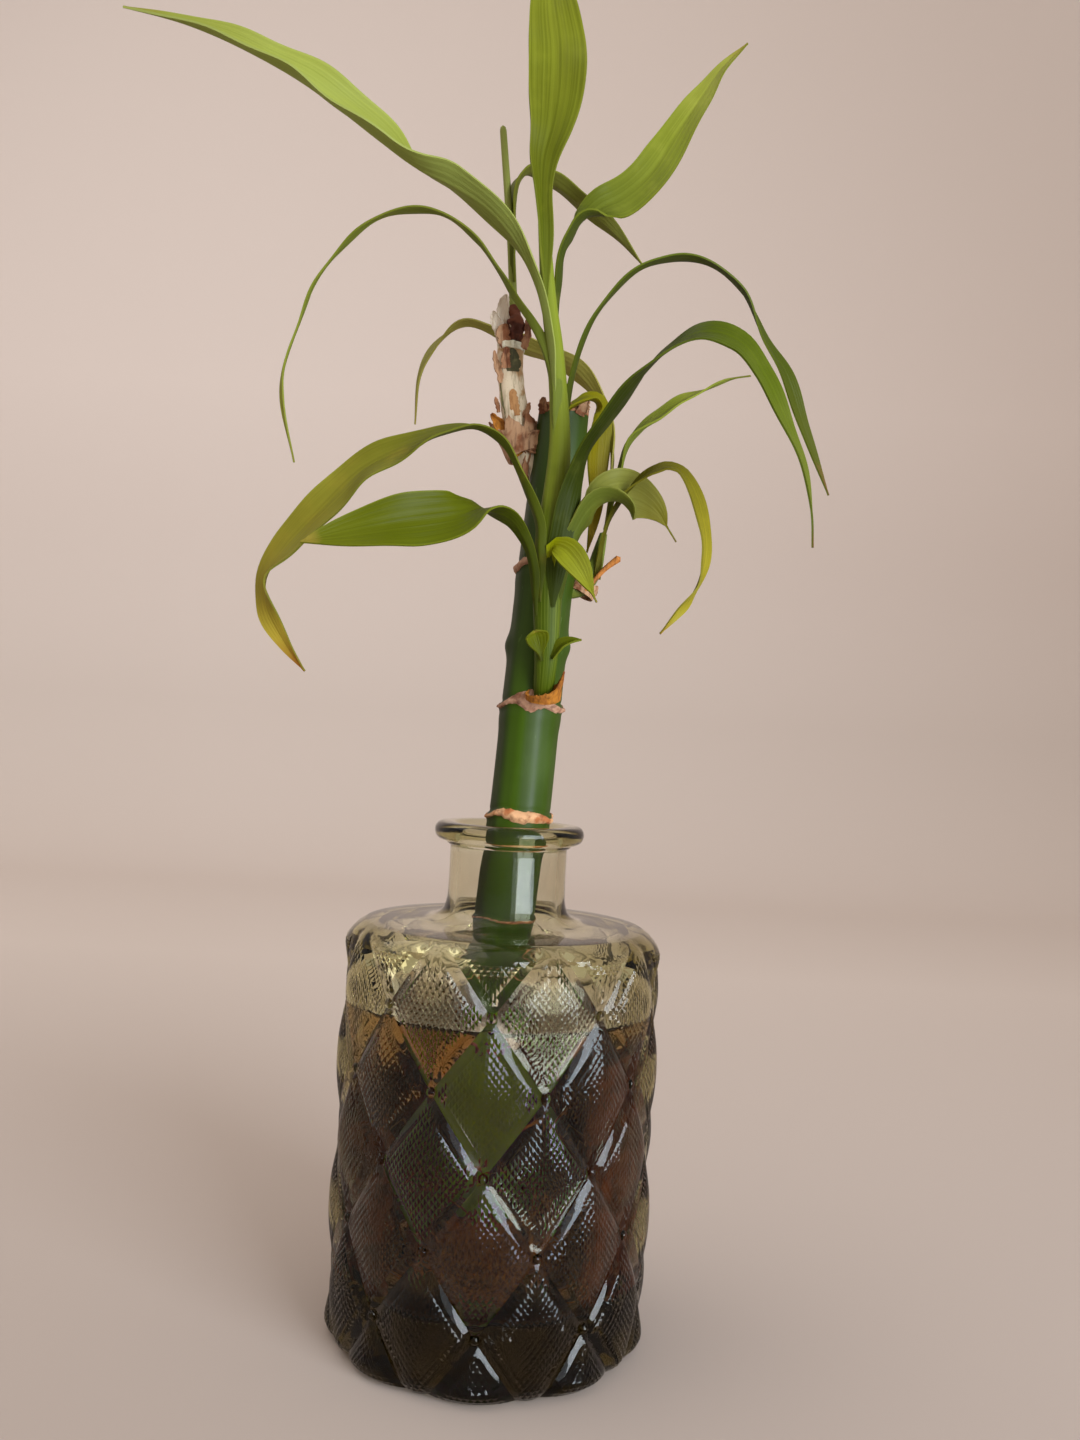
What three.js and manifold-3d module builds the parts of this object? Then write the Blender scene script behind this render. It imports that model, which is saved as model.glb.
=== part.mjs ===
// A lucky bamboo cane with leafy side shoots, standing in water in a quilted glass bottle.
// Millimetres, +Z up. The origin is the centre of the bottle's base, and -Y is the front.
import * as THREE from 'three';
import { mergeVertices } from 'three/addons/utils/BufferGeometryUtils.js';
import Module from 'manifold-3d';

const wasm = await Module();
wasm.setup();

// Gap kept between pieces that touch
const GAP = 0.3;

// Bottle: heights and radii of the plain form
const BODY_RADIUS = 32.9;
const HEEL_RADIUS = 4;
const SHOULDER_Z = 88.9;
const SHOULDER_CORNER = 4.5;
const NECK_RADIUS = 12.9;
const LIP_RADIUS = 16.5;
const LIP_Z = 110.6;
const FLOOR_Z = 12.8;
const INNER_RADIUS = 30.2;
const MOUTH_RADIUS = 10.5;

// Bottle: the quilted relief, with diamonds in staggered rows
const DIAMONDS_AROUND = 9;
const HALF_DIAMOND = Math.PI / DIAMONDS_AROUND;
const DIAMOND_HALF_HEIGHT = 15.5;
const TOP_CROSSING_Z = 74.9;
const QUILT_TURN = THREE.MathUtils.degToRad(-1.5);
const PILLOW_RISE = 2.2;
const BUTTON_RISE = 0.8;
const STEPS_PER_HALF = 4;

const WATER_Z = 71;

// Cane: its axis, its radius along the height, and its rings
const CANE_FOOT_Z = FLOOR_Z + GAP;
const CANE_TOP_Z = 205;
const CANE_AXIS = [
  [0, -1, CANE_FOOT_Z], [0.2, 0.6, 60], [0.5, 2.2, 98], [1.8, 2.9, 111],
  [3.2, 4, 137], [4.9, 5.4, 168], [7.2, 7, CANE_TOP_Z],
];
const CANE_RADII = [[13, 6.6], [98, 6.8], [112, 6.8], [137, 6.7], [168, 6.4], [205, 5.7]];
const CANE_RINGS = [36, 62, 88, 112.3, 137, 168.5];
const RING_RISE = 0.45;
const RING_HALF_HEIGHT = 0.8;
const ROOT_CROWN_Z = 16;
const ROOT_COUNT = 10;

// The way from the plant to the viewer, which a blade with no turn faces
const FRONT = new THREE.Vector3(0, -1, 0);
const BLADE_THICKNESS = 0.7;

const COLOURS = {
  glass: 0x8a8068,
  water: 0x6b5a3a,
  cane: 0x3f6a24,
  root: 0xa2501c,
  stem: 0x6f9a3c,
  deepLeaf: 0x3d6b1e,
  leaf: 0x6e9a22,
  paleLeaf: 0xa3b43c,
  oliveLeaf: 0x9c8f24,
  amber: 0xb8691a,
  straw: 0xb9a98a,
  husk: 0x9a6a45,
  deadBud: 0x5a2a1c,
};

const toVectors = (points) => points.map((point) => new THREE.Vector3(...point));

const smoothCurve = (points) => new THREE.CatmullRomCurve3(toVectors(points), false, 'centripetal');

// Value at x of a line through [x, value] pairs
function valueAt(pairs, x) {
  const next = pairs.findIndex(([limit]) => x <= limit);
  if (next === 0) return pairs[0][1];
  if (next < 0) return pairs[pairs.length - 1][1];
  const [x0, v0] = pairs[next - 1];
  const [x1, v1] = pairs[next];
  return THREE.MathUtils.lerp(v0, v1, (x - x0) / (x1 - x0));
}

// Value at t, from 0 to 1, of a smooth run through evenly spaced values
function easedAt(values, t) {
  const place = t * (values.length - 1);
  const start = Math.min(Math.floor(place), values.length - 2);
  const mix = THREE.MathUtils.smoothstep(place - start, 0, 1);
  return THREE.MathUtils.lerp(values[start], values[start + 1], mix);
}

// Closed body through a list of rings, each with the same number of points, seen counterclockwise
// from the end that the rings run to. splitAt chooses each square's diagonal.
function loft(rings, splitAt = () => false) {
  const sides = rings[0].length;
  const positions = rings.flat().flatMap((point) => point.toArray());
  const faces = [];
  for (let row = 0; row < rings.length - 1; row++) {
    for (let side = 0; side < sides; side++) {
      const a = row * sides + side;
      const b = row * sides + (side + 1) % sides;
      const c = b + sides;
      const d = a + sides;
      if (splitAt(row, side)) faces.push(a, b, d, b, c, d);
      else faces.push(a, b, c, a, c, d);
    }
  }
  const addCap = (ring, base, turned) => {
    const centre = new THREE.Vector3();
    ring.forEach((point) => centre.addScaledVector(point, 1 / sides));
    const hub = positions.length / 3;
    positions.push(...centre.toArray());
    for (let side = 0; side < sides; side++) {
      const a = base + side;
      const b = base + (side + 1) % sides;
      if (turned) faces.push(hub, b, a);
      else faces.push(hub, a, b);
    }
  };
  addCap(rings[0], 0, true);
  addCap(rings[rings.length - 1], (rings.length - 1) * sides, false);
  const geometry = new THREE.BufferGeometry();
  geometry.setAttribute('position', new THREE.Float32BufferAttribute(positions, 3));
  geometry.setIndex(faces);
  return geometry;
}

function toSolid(geometry) {
  const bare = geometry.clone();
  bare.deleteAttribute('normal');
  bare.deleteAttribute('uv');
  const merged = mergeVertices(bare, 1e-4);
  return new wasm.Manifold(new wasm.Mesh({
    numProp: 3,
    vertProperties: new Float32Array(merged.attributes.position.array),
    triVerts: new Uint32Array(merged.index.array),
  }));
}

function toGeometry(solid) {
  const { vertProperties, triVerts } = solid.getMesh();
  const geometry = new THREE.BufferGeometry();
  geometry.setAttribute('position', new THREE.Float32BufferAttribute(vertProperties, 3));
  geometry.setIndex([...triVerts]);
  return geometry;
}

// The largest body of a solid, without the scraps that a cut leaves
function largestBody(solid) {
  const bodies = solid.decompose();
  return bodies.reduce((best, body) => (body.volume() > best.volume() ? body : best));
}

const cutBy = (solid, cutters) => largestBody(cutters.reduce((rest, cutter) => rest.subtract(cutter), solid));

function lathe(profile, segments) {
  const points = profile.map(([radius, height]) => new THREE.Vector2(radius, height));
  return new THREE.LatheGeometry(points, segments).rotateX(Math.PI / 2);
}

// Stem swept along a curve, with an [along X, along Y] half width at even steps
function stem({ route, halfWidths, sides = 10, rows = 14 }, grow = 0) {
  const curve = smoothCurve(route);
  const rings = [];
  for (let row = 0; row <= rows; row++) {
    const t = row / rows;
    const centre = curve.getPointAt(t);
    const along = curve.getTangentAt(t);
    const across = new THREE.Vector3().crossVectors(along, FRONT).normalize();
    const outward = new THREE.Vector3().crossVectors(across, along);
    const wide = easedAt(halfWidths.map(([x]) => x), t) + grow;
    const deep = easedAt(halfWidths.map(([, y]) => y), t) + grow;
    const overrun = (row === rows ? grow : 0) - (row === 0 ? grow : 0);
    rings.push(Array.from({ length: sides }, (_, side) => {
      const angle = (side / sides) * Math.PI * 2;
      return centre.clone()
        .addScaledVector(along, overrun)
        .addScaledVector(across, wide * Math.cos(angle))
        .addScaledVector(outward, -deep * Math.sin(angle));
    }));
  }
  return loft(rings);
}

// Leaf outline: half width along the rib, from the narrow neck over the widest point to the tip
function leafOutline(t, neck, peak) {
  if (t < peak) return neck + (1 - neck) * THREE.MathUtils.smootherstep(t / peak, 0, 1);
  const rest = (t - peak) / (1 - peak);
  return Math.max(0, 1 - rest ** 1.8) ** 0.95;
}

// Leaf blade along its rib: a shallow channel of even thickness, turned about the rib, with
// waved edges
function blade({ rib, turns, width, neck = 0.3, peak = 0.5, cups = [0.3, 0.25], wave = 0.5 }, grow = 0) {
  const curve = smoothCurve(rib);
  const length = curve.getLength();
  const rows = THREE.MathUtils.clamp(Math.round(length / 7), 5, 16);
  const across = [-1, -0.5, 0, 0.5, 1];
  const rings = [];
  for (let row = 0; row <= rows; row++) {
    const t = row / rows;
    const along = curve.getTangentAt(t);
    const turn = THREE.MathUtils.degToRad(easedAt(turns, t));
    const side = new THREE.Vector3().crossVectors(along, FRONT).normalize().applyAxisAngle(along, turn);
    const up = new THREE.Vector3().crossVectors(side, along);
    const half = Math.max(0.45, (width / 2) * leafOutline(t, neck, peak)) + grow;
    const overrun = (row === rows ? grow : 0) - (row === 0 ? grow : 0);
    const centre = curve.getPointAt(t).addScaledVector(along, overrun);
    const bend = easedAt(cups, t);
    const face = (lift) => across.map((place) => {
      const ripple = wave * Math.sin(t * length * 0.35 + place) * Math.abs(place) * Math.sin(Math.PI * t);
      const rise = bend * half * (Math.abs(place) ** 1.4 - 0.4) + ripple + lift;
      return centre.clone().addScaledVector(side, half * place).addScaledVector(up, rise);
    });
    const thick = BLADE_THICKNESS / 2 + grow;
    rings.push([...face(thick), ...face(-thick).reverse()]);
  }
  return ribbonBody(rings, across.length);
}

// Closed body of a ribbon: each ring holds the upper points, then the lower ones backwards
function ribbonBody(rings, width) {
  const sides = width * 2;
  const positions = rings.flat().flatMap((point) => point.toArray());
  const faces = [];
  for (let row = 0; row < rings.length - 1; row++) {
    for (let side = 0; side < sides; side++) {
      const a = row * sides + side;
      const b = row * sides + (side + 1) % sides;
      const c = b + sides;
      const d = a + sides;
      // The upper and the lower face are split along the same diagonal
      if (side < width) faces.push(a, b, c, a, c, d);
      else faces.push(a, b, d, b, c, d);
    }
  }
  for (let side = 0; side < width - 1; side++) {
    const upper = side;
    const lower = sides - 1 - side;
    const end = (rings.length - 1) * sides;
    faces.push(upper, lower, upper + 1, upper + 1, lower, lower - 1);
    faces.push(end + upper, end + upper + 1, end + lower, end + upper + 1, end + lower - 1, end + lower);
  }
  const geometry = new THREE.BufferGeometry();
  geometry.setAttribute('position', new THREE.Float32BufferAttribute(positions, 3));
  geometry.setIndex(faces);
  return geometry;
}

// Ragged cup round a stem: heights are the rim's, evenly spaced round the cup
function raggedCup({ foot, axis, radius, heights, flare = 0.1, thickness = 0.7 }) {
  const sides = heights.length;
  const circle = (scale, lift) => heights.map((height, side) => {
    const angle = (side / sides) * Math.PI * 2;
    const reach = scale + flare * height * lift;
    return new THREE.Vector3(reach * Math.cos(angle), reach * Math.sin(angle), height * lift);
  });
  const walls = [
    circle(radius - thickness, 0), circle(radius, 0), circle(radius, 1), circle(radius - thickness, 1),
  ];
  const positions = walls.flat().flatMap((point) => point.toArray());
  const faces = [];
  for (let wall = 0; wall < walls.length; wall++) {
    for (let side = 0; side < sides; side++) {
      const a = wall * sides + side;
      const b = wall * sides + (side + 1) % sides;
      const c = ((wall + 1) % walls.length) * sides + (side + 1) % sides;
      const d = ((wall + 1) % walls.length) * sides + side;
      faces.push(a, b, c, a, c, d);
    }
  }
  const geometry = new THREE.BufferGeometry();
  geometry.setAttribute('position', new THREE.Float32BufferAttribute(positions, 3));
  geometry.setIndex(faces);
  const upright = new THREE.Quaternion();
  upright.setFromUnitVectors(new THREE.Vector3(0, 0, 1), new THREE.Vector3(...axis).normalize());
  return geometry.applyQuaternion(upright).translate(...foot);
}

// Rise of the quilting above the grooves: a soft pillow in each diamond, a button at each crossing
function quiltRise(angle, height) {
  const u = (angle - QUILT_TURN) / HALF_DIAMOND;
  const v = (height - TOP_CROSSING_Z) / DIAMOND_HALF_HEIGHT;
  const fromGroove = (place) => 1 - Math.abs(2 * (place - Math.floor(place)) - 1);
  const first = fromGroove((u + v) / 2);
  const second = fromGroove((u - v) / 2);
  const swell = (distance) => 1 - (1 - distance) ** 2.5;
  const button = BUTTON_RISE * Math.max(0, 1 - Math.hypot(first, second) / 0.2);
  return PILLOW_RISE * swell(first) * swell(second) + button;
}

// Radius of the body's plain form at a height, round at the heel and at the shoulder
function bodyRadius(height) {
  if (height < HEEL_RADIUS) {
    return BODY_RADIUS - HEEL_RADIUS * (1 - Math.sqrt(1 - (1 - height / HEEL_RADIUS) ** 2)) * 0.8;
  }
  const rise = Math.max(0, (height - (SHOULDER_Z - SHOULDER_CORNER)) / SHOULDER_CORNER);
  return BODY_RADIUS - SHOULDER_CORNER * (1 - Math.sqrt(Math.max(0, 1 - rise ** 2)));
}

function quiltedBody() {
  const step = DIAMOND_HALF_HEIGHT / STEPS_PER_HALF;
  const rowsBelow = Math.floor(TOP_CROSSING_Z / step);
  const heights = [0];
  for (let row = -rowsBelow; row <= 2; row++) heights.push(TOP_CROSSING_Z + row * step);
  heights.push(SHOULDER_Z - 4, SHOULDER_Z - 2, SHOULDER_Z - 0.8, SHOULDER_Z);
  const sides = DIAMONDS_AROUND * 2 * STEPS_PER_HALF;
  const rings = heights.map((height) => Array.from({ length: sides }, (_, side) => {
    const angle = QUILT_TURN + (side / sides) * Math.PI * 2;
    const fade = THREE.MathUtils.smoothstep(height, -2.5, 2.5)
      * (1 - THREE.MathUtils.smoothstep(height, TOP_CROSSING_Z + 3, SHOULDER_Z));
    const radius = bodyRadius(height) + quiltRise(angle, height) * fade;
    return new THREE.Vector3(radius * Math.sin(angle), -radius * Math.cos(angle), height);
  }));
  // Each square is split along the groove that crosses it, or else alongside the nearest one
  const split = (row, side) => {
    const u = (side + 0.5) / STEPS_PER_HALF;
    const v = (row - 0.5 - rowsBelow) / STEPS_PER_HALF;
    const fromGroove = (place) => Math.abs(place - Math.round(place));
    return fromGroove((u + v) / 2) < fromGroove((u - v) / 2);
  };
  return toSolid(loft(rings, split));
}

function bottleSolid() {
  const neckAndLip = lathe([
    [0, SHOULDER_Z - 4], [17, SHOULDER_Z - 4], [17, SHOULDER_Z - 0.5], [14.2, SHOULDER_Z + 0.7],
    [NECK_RADIUS, SHOULDER_Z + 3], [NECK_RADIUS, LIP_Z - 4.6], [NECK_RADIUS + 0.5, LIP_Z - 4.2],
    [LIP_RADIUS - 1.2, LIP_Z - 3.8], [LIP_RADIUS, LIP_Z - 2.6], [LIP_RADIUS, LIP_Z - 1.2],
    [LIP_RADIUS - 1, LIP_Z - 0.2], [LIP_RADIUS - 2.2, LIP_Z], [0, LIP_Z],
  ], 40);
  const cavity = lathe([
    [0, FLOOR_Z], [INNER_RADIUS - 8, FLOOR_Z], [INNER_RADIUS - 2, FLOOR_Z + 2],
    [INNER_RADIUS, FLOOR_Z + 7], [INNER_RADIUS, SHOULDER_Z - 9], [INNER_RADIUS - 2, SHOULDER_Z - 4.5],
    [INNER_RADIUS - 6, SHOULDER_Z - 2.8], [13.2, SHOULDER_Z - 2.4], [MOUTH_RADIUS, SHOULDER_Z + 1],
    [MOUTH_RADIUS, LIP_Z - 1.5], [MOUTH_RADIUS + 1, LIP_Z + 0.2], [MOUTH_RADIUS + 1, LIP_Z + 5],
    [0, LIP_Z + 5],
  ], 36);
  return quiltedBody().add(toSolid(neckAndLip)).subtract(toSolid(cavity));
}

// Cane: a tapering culm with a raised, slightly ragged ring at each joint
function caneSolid(grow = 0) {
  const curve = smoothCurve(CANE_AXIS);
  const heights = [CANE_FOOT_Z - grow, 24, 49, 75];
  for (const ring of CANE_RINGS) {
    heights.push(ring - 2.4, ring - 0.4, ring + 0.4, ring + 2.4);
  }
  heights.push(98, 125, 146, 150, 154, 181, CANE_TOP_Z - 0.7, CANE_TOP_Z + grow);
  heights.sort((first, second) => first - second);
  const span = CANE_TOP_Z - CANE_FOOT_Z;
  const sides = 18;
  const rings = heights.map((height) => {
    const t = THREE.MathUtils.clamp((height - CANE_FOOT_Z) / span, 0, 1);
    const centre = curve.getPoint(caneParameter(curve, CANE_FOOT_Z + t * span));
    return Array.from({ length: sides }, (_, side) => {
      const angle = (side / sides) * Math.PI * 2;
      let radius = valueAt(CANE_RADII, height) + grow;
      for (const ring of CANE_RINGS) {
        const ragged = ring + 0.5 * Math.sin(angle * 2 + ring) + 0.3 * Math.sin(angle * 5);
        radius += RING_RISE * Math.exp(-(((height - ragged) / (RING_HALF_HEIGHT * 1.3)) ** 2));
      }
      // A sleeping bud swells on each side above the second visible ring
      const sideways = Math.abs(Math.cos(angle)) ** 8;
      radius += 0.7 * sideways * Math.exp(-(((height - 150) / 3) ** 2));
      if (height > CANE_TOP_Z - 0.5) radius -= 0.5;
      return new THREE.Vector3(
        centre.x + radius * Math.cos(angle), centre.y + radius * Math.sin(angle), height);
    });
  });
  return toSolid(loft(rings));
}

// Parameter of the cane's curve at a height
function caneParameter(curve, height) {
  let low = 0;
  let high = 1;
  for (let pass = 0; pass < 24; pass++) {
    const middle = (low + high) / 2;
    if (curve.getPoint(middle).z < height) low = middle;
    else high = middle;
  }
  return (low + high) / 2;
}

// Roots: a crown round the foot of the cane, with thin roots that wander out over the floor
function rootSolid(grow = 0) {
  const crown = lathe([
    [5, ROOT_CROWN_Z - grow], [8 + grow, ROOT_CROWN_Z - grow], [8.6 + grow, ROOT_CROWN_Z + 2],
    [8 + grow, ROOT_CROWN_Z + 4 + grow], [5, ROOT_CROWN_Z + 4 + grow], [5, ROOT_CROWN_Z - grow],
  ], 20).translate(0, -1, 0);
  let solid = toSolid(crown);
  for (let index = 0; index < ROOT_COUNT; index++) {
    const angle = (index / ROOT_COUNT) * Math.PI * 2 + 0.3 * Math.sin(index * 5);
    const swing = 0.5 * Math.sin(index * 3.1);
    const climb = 4 + 24 * (0.5 + 0.5 * Math.sin(index * 2.3 + 1));
    const reach = [6.5, 12, 18, 23, 26];
    const route = reach.map((radius, step) => {
      const turn = angle + swing * (step / 4) ** 2;
      const height = ROOT_CROWN_Z + 2 + [0, -0.6, 0.4, 0.45 * climb, climb][step];
      return [radius * Math.cos(turn), radius * Math.sin(turn) - 1 + step / 4, height];
    });
    const halfWidths = [[0.9, 0.9], [0.75, 0.75], [0.45, 0.45]];
    solid = solid.add(toSolid(stem({ route, halfWidths, sides: 5, rows: 6 }, grow)));
  }
  return solid;
}

function waterSolid(cutters) {
  const inset = INNER_RADIUS - GAP;
  const fill = lathe([
    [0, FLOOR_Z + GAP], [INNER_RADIUS - 8, FLOOR_Z + GAP], [inset - 2, FLOOR_Z + 2 + GAP],
    [inset, FLOOR_Z + 7], [inset, WATER_Z], [0, WATER_Z],
  ], 36);
  return cutBy(toSolid(fill), cutters);
}

// Stems of the side shoots, from where they leave the cane
const STEMS = {
  front_shoot_stem: {
    route: [
      [5.7, 0, 137], [5.8, -4.6, 141], [6, -6.6, 148], [5.6, -7, 160], [5.4, -7, 168], [6, -6.5, 175],
      [6.4, -6, 184], [6.5, -5, 195], [5.8, -4, 204], [4.4, -3.5, 215], [2.5, -3, 226], [1, -3, 238],
      [0, -3, 247],
    ],
    halfWidths: [
      [2.2, 2], [2.5, 2], [3.4, 2.3], [3.4, 2.4], [2.2, 2], [1.8, 1.7], [1.7, 1.5], [1.5, 1.3], [1.1, 1],
    ],
    rows: 24,
    colour: 'stem',
  },
  right_shoot_stem: {
    route: [[9, 6, 163.5], [13, 6.4, 164.5], [15.6, 7, 168], [16.8, 8, 173], [17.8, 9, 178]],
    halfWidths: [[2, 2], [1.9, 1.8], [1.5, 1.4], [0.8, 0.7]],
    rows: 9,
    colour: 'stem',
  },
  dried_shoot_stem: {
    route: [[3, 7, 188], [0, 7.6, 193], [-2.6, 8.2, 199], [-4.6, 9, 207], [-5.9, 10, 216], [-5.9, 10, 220.5]],
    halfWidths: [[2.4, 2.4], [3, 3], [3.2, 3], [3, 2.9], [2.9, 2.8], [3, 2.9]],
    rows: 12,
    colour: 'straw',
  },
  cut_stalk: {
    route: [[-5.2, 14, 221], [-6.2, 13.2, 233], [-7.3, 12.6, 245], [-8.6, 13, 256], [-10.8, 14, 273.7]],
    halfWidths: [[1, 1], [0.9, 0.9], [0.8, 0.8]],
    sides: 8,
    rows: 10,
    colour: 'stem',
  },
  dried_stub: {
    route: [[11, 4, 161], [14.4, 3.6, 163.6], [17.8, 3, 167.9], [21.6, 2, 171.3]],
    halfWidths: [[0.7, 0.7], [0.55, 0.55], [0.55, 0.55], [0.85, 0.7]],
    sides: 6,
    rows: 6,
    colour: 'amber',
  },
};

// Leaves: the rib's path, the turn about it from facing front at even steps, and the full width
const LEAVES = {
  leaf_left_low: {
    rib: [[5, -8, 161], [1, -11, 171], [-3, -14, 175.6], [-9, -17, 177], [-14, -20, 175], [-25, -24, 172],
      [-35, -27, 169], [-44, -29, 166]],
    turns: [150, 140, 85, 12, 10, 15, 25], width: 11.5, neck: 0.25, peak: 0.6, cups: [0.3, 0.15],
    colour: 'leaf',
  },
  leaf_left_long: {
    rib: [[5, -7, 164], [3, -9, 176], [-2, -8, 187], [-6.5, -6, 194], [-12, -5, 197], [-19, -3, 196],
      [-28, 0, 193], [-38, 3, 188], [-47, 5, 179], [-55, 6, 170], [-59, 6, 163], [-58, 5, 156],
      [-53, 4, 148], [-48, 3, 142]],
    turns: [150, 130, 104, 78, 35, 32, 30, 15, 30], width: 8.5, neck: 0.45, peak: 0.55, colour: 'leaf',
  },
  leaf_front_small: {
    rib: [[7, -8, 166], [8, -12, 170.6], [11, -16, 170], [14, -19, 164], [16, -20, 158.6]],
    turns: [-60, -55, -35, -25], width: 6, neck: 0.6, peak: 0.5, wave: 0.2, colour: 'paleLeaf',
  },
  leaf_right_dark: {
    rib: [[7.5, -9, 164], [9.5, -11, 176], [11.6, -13, 189], [15.3, -15, 196], [22.4, -18, 206],
      [28, -20, 211.6], [35, -22, 214.6], [42, -23, 212.6], [47, -24, 206], [52, -25, 196], [56, -25, 187],
      [58, -25, 178], [58.5, -25, 171]],
    turns: [-170, -155, -130, -115, -112, -75, -30, -35, -45, -60], width: 8.5, neck: 0.55, peak: 0.45,
    colour: 'deepLeaf',
  },
  leaf_right_outer: {
    rib: [[7, -3.5, 202], [10, -1, 217], [14, 2, 227], [19.4, 5, 235], [25.5, 8, 240.4], [33, 11, 243.2],
      [41.5, 14, 242.4], [48, 16, 238], [54, 18, 228], [60, 20, 220], [65, 21, 208], [72, 22, 192]],
    turns: [-120, -105, -85, -72, -68, -35, -35, -45], width: 7, neck: 0.5, peak: 0.6, colour: 'deepLeaf',
  },
  leaf_left_arch: {
    rib: [[5.5, -3, 206], [-0.5, 1, 223], [-7, 4, 234], [-14, 8, 244], [-22, 11, 250], [-30, 14, 252.4],
      [-38, 17, 252], [-46, 20, 247.5], [-54, 22, 238], [-58.5, 24, 227], [-61.7, 25, 216],
      [-61.6, 25, 209], [-58, 26, 194]],
    turns: [150, 115, 85, 72, 68, 62, 30, 70, 62], width: 6.5, neck: 0.5, peak: 0.5, colour: 'stem',
  },
  leaf_top_left: {
    rib: [[3.4, -3.5, 217], [-0.3, -6, 229], [-4.4, -8, 236], [-11, -11, 242.4], [-18.7, -14, 246.2],
      [-26, -17, 248.6], [-33.4, -20, 252.7], [-41.4, -23, 257.4], [-50.4, -26, 261.8],
      [-60, -29, 265], [-71.3, -31, 267.8], [-84, -33, 269]],
    turns: [95, 108, 112, 80, 42, 42, 45, 50], width: 10, neck: 0.3, peak: 0.45,
    cups: [0.3, 0.2, 0.4, 0.8, 0.8, 0.4], colour: 'paleLeaf',
  },
  leaf_top: {
    rib: [[0.6, -3, 242], [-0.2, -3, 250], [-0.3, -3, 258], [1, -3, 266], [1.6, -2, 275], [1.3, 0, 285],
      [-0.4, 3, 297], [-2.4, 9, 315]],
    turns: [30, 10, 0, 0, -5, -20], width: 13, neck: 0.28, peak: 0.58, cups: [0.4, 0.15, 0.2],
    colour: 'paleLeaf',
  },
  leaf_top_right: {
    rib: [[3.2, -2.6, 217], [4.6, 0.5, 234], [6, 4, 244], [9.6, 7, 250.4], [17, 10, 255.5],
      [24.4, 13, 263.3], [31, 16, 276], [36, 18, 285], [40.5, 20, 293], [47, 22, 301]],
    turns: [-100, -100, -60, -10, -12, -30, -35], width: 8.5, neck: 0.35, peak: 0.55, colour: 'leaf',
  },
  leaf_back_top: {
    rib: [[-6.3, 12.4, 236], [-6.6, 10.5, 244], [-7, 11.5, 252], [-6.4, 14.5, 261], [-4, 17, 264.6],
      [1, 20, 264], [7, 24, 262], [13.6, 28, 259], [19.5, 32, 255.6], [25, 35, 251]],
    turns: [-60, -70, -76, -100, -110, -100], width: 6.5, neck: 0.3, peak: 0.6, colour: 'leaf',
  },
  leaf_back_left: {
    rib: [[18, 9.5, 178], [19, 12, 190], [18.5, 14, 201], [15.6, 17, 210.5], [10.8, 20, 217.4],
      [5.6, 23, 221.7], [-2, 26, 225], [-9.5, 29, 229], [-19, 32, 232], [-25.6, 35, 228],
      [-29.7, 37, 220], [-30.4, 38, 208]],
    turns: [90, 100, 118, 112, 85, 55, 72], width: 6.5, neck: 0.35, peak: 0.5, colour: 'oliveLeaf',
  },
  leaf_back_drooping: {
    rib: [[7, -2, 202], [10.3, 2, 206.8], [12.4, 6, 208.2], [14.6, 9, 207], [15.6, 12, 203],
      [15.7, 13, 197.6], [15.3, 13, 187], [14.2, 12.6, 174]],
    turns: [-70, -70, -45, -35, -40], width: 6.5, neck: 0.6, peak: 0.45, colour: 'oliveLeaf',
  },
  leaf_right_thin: {
    rib: [[18.2, 9.4, 178.6], [20.2, 13, 190.3], [21.4, 15, 196.7], [24, 17, 201.6], [29, 20, 208.7],
      [35.3, 23, 214.5], [42, 27, 218.7], [49.4, 31, 222], [53.5, 33, 223.4]],
    turns: [-90, -90, -80, -110, -85], width: 5, neck: 0.35, peak: 0.55, colour: 'leaf',
  },
  leaf_right_pale: {
    rib: [[7.5, -8, 166], [9, -8, 171], [11.4, -7, 175.7], [13.9, -3, 180.8], [16.4, 2, 184.6],
      [18.8, 6, 187.3], [21.2, 8, 187.4], [23.6, 9, 185.9], [26.4, 10, 183.7], [29.3, 10, 181.3],
      [31.7, 10, 179.4], [34.6, 10, 176.7]],
    turns: [-135, -130, -120, -75, -10, 0, 0], width: 13.5, neck: 0.42, peak: 0.66, cups: [0.3, 0.15],
    colour: 'paleLeaf',
  },
  leaf_right_arch: {
    rib: [[16.6, 5.2, 166.5], [17.1, 4, 172.5], [18.1, 2, 177.2], [19.8, 0, 181.4], [21.7, -2, 184.7],
      [24.5, -4, 188.2], [27.6, -5, 189.9], [30.3, -6, 190.5], [33.5, -6.5, 188.9], [37, -7, 184], [39.4, -8, 176.6], [39.5, -9, 169], [36.7, -10, 163],
      [34.6, -11, 159], [30, -12, 153]],
    turns: [-150, -130, -100, -90, -60, -35, -75, -40], width: 5.5, neck: 0.45, peak: 0.6, colour: 'oliveLeaf',
  },
  scale_leaf_left: {
    rib: [[5, -8.4, 144.6], [3.4, -9.4, 148.6], [2.6, -9.6, 152]],
    turns: [20, 20], width: 4, neck: 0.6, peak: 0.6, wave: 0, colour: 'stem',
  },
  scale_leaf_right: {
    rib: [[7, -7.4, 146], [9.6, -8.6, 149.8], [13.2, -9, 151.4]],
    turns: [-30, -50], width: 3.2, neck: 0.6, peak: 0.4, wave: 0, colour: 'stem',
  },
  husk_scale_left: {
    rib: [[-8.6, 9, 219.6], [-9.4, 8.8, 225], [-8.6, 9, 233]],
    turns: [-20, -20], width: 5, neck: 0.6, peak: 0.4, wave: 0, colour: 'straw',
  },
  husk_scale_right: {
    rib: [[-2.6, 9.4, 219.6], [-2, 9, 224], [-2.2, 9, 228]],
    turns: [30, 30], width: 4, neck: 0.6, peak: 0.4, wave: 0, colour: 'husk',
  },
};

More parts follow.
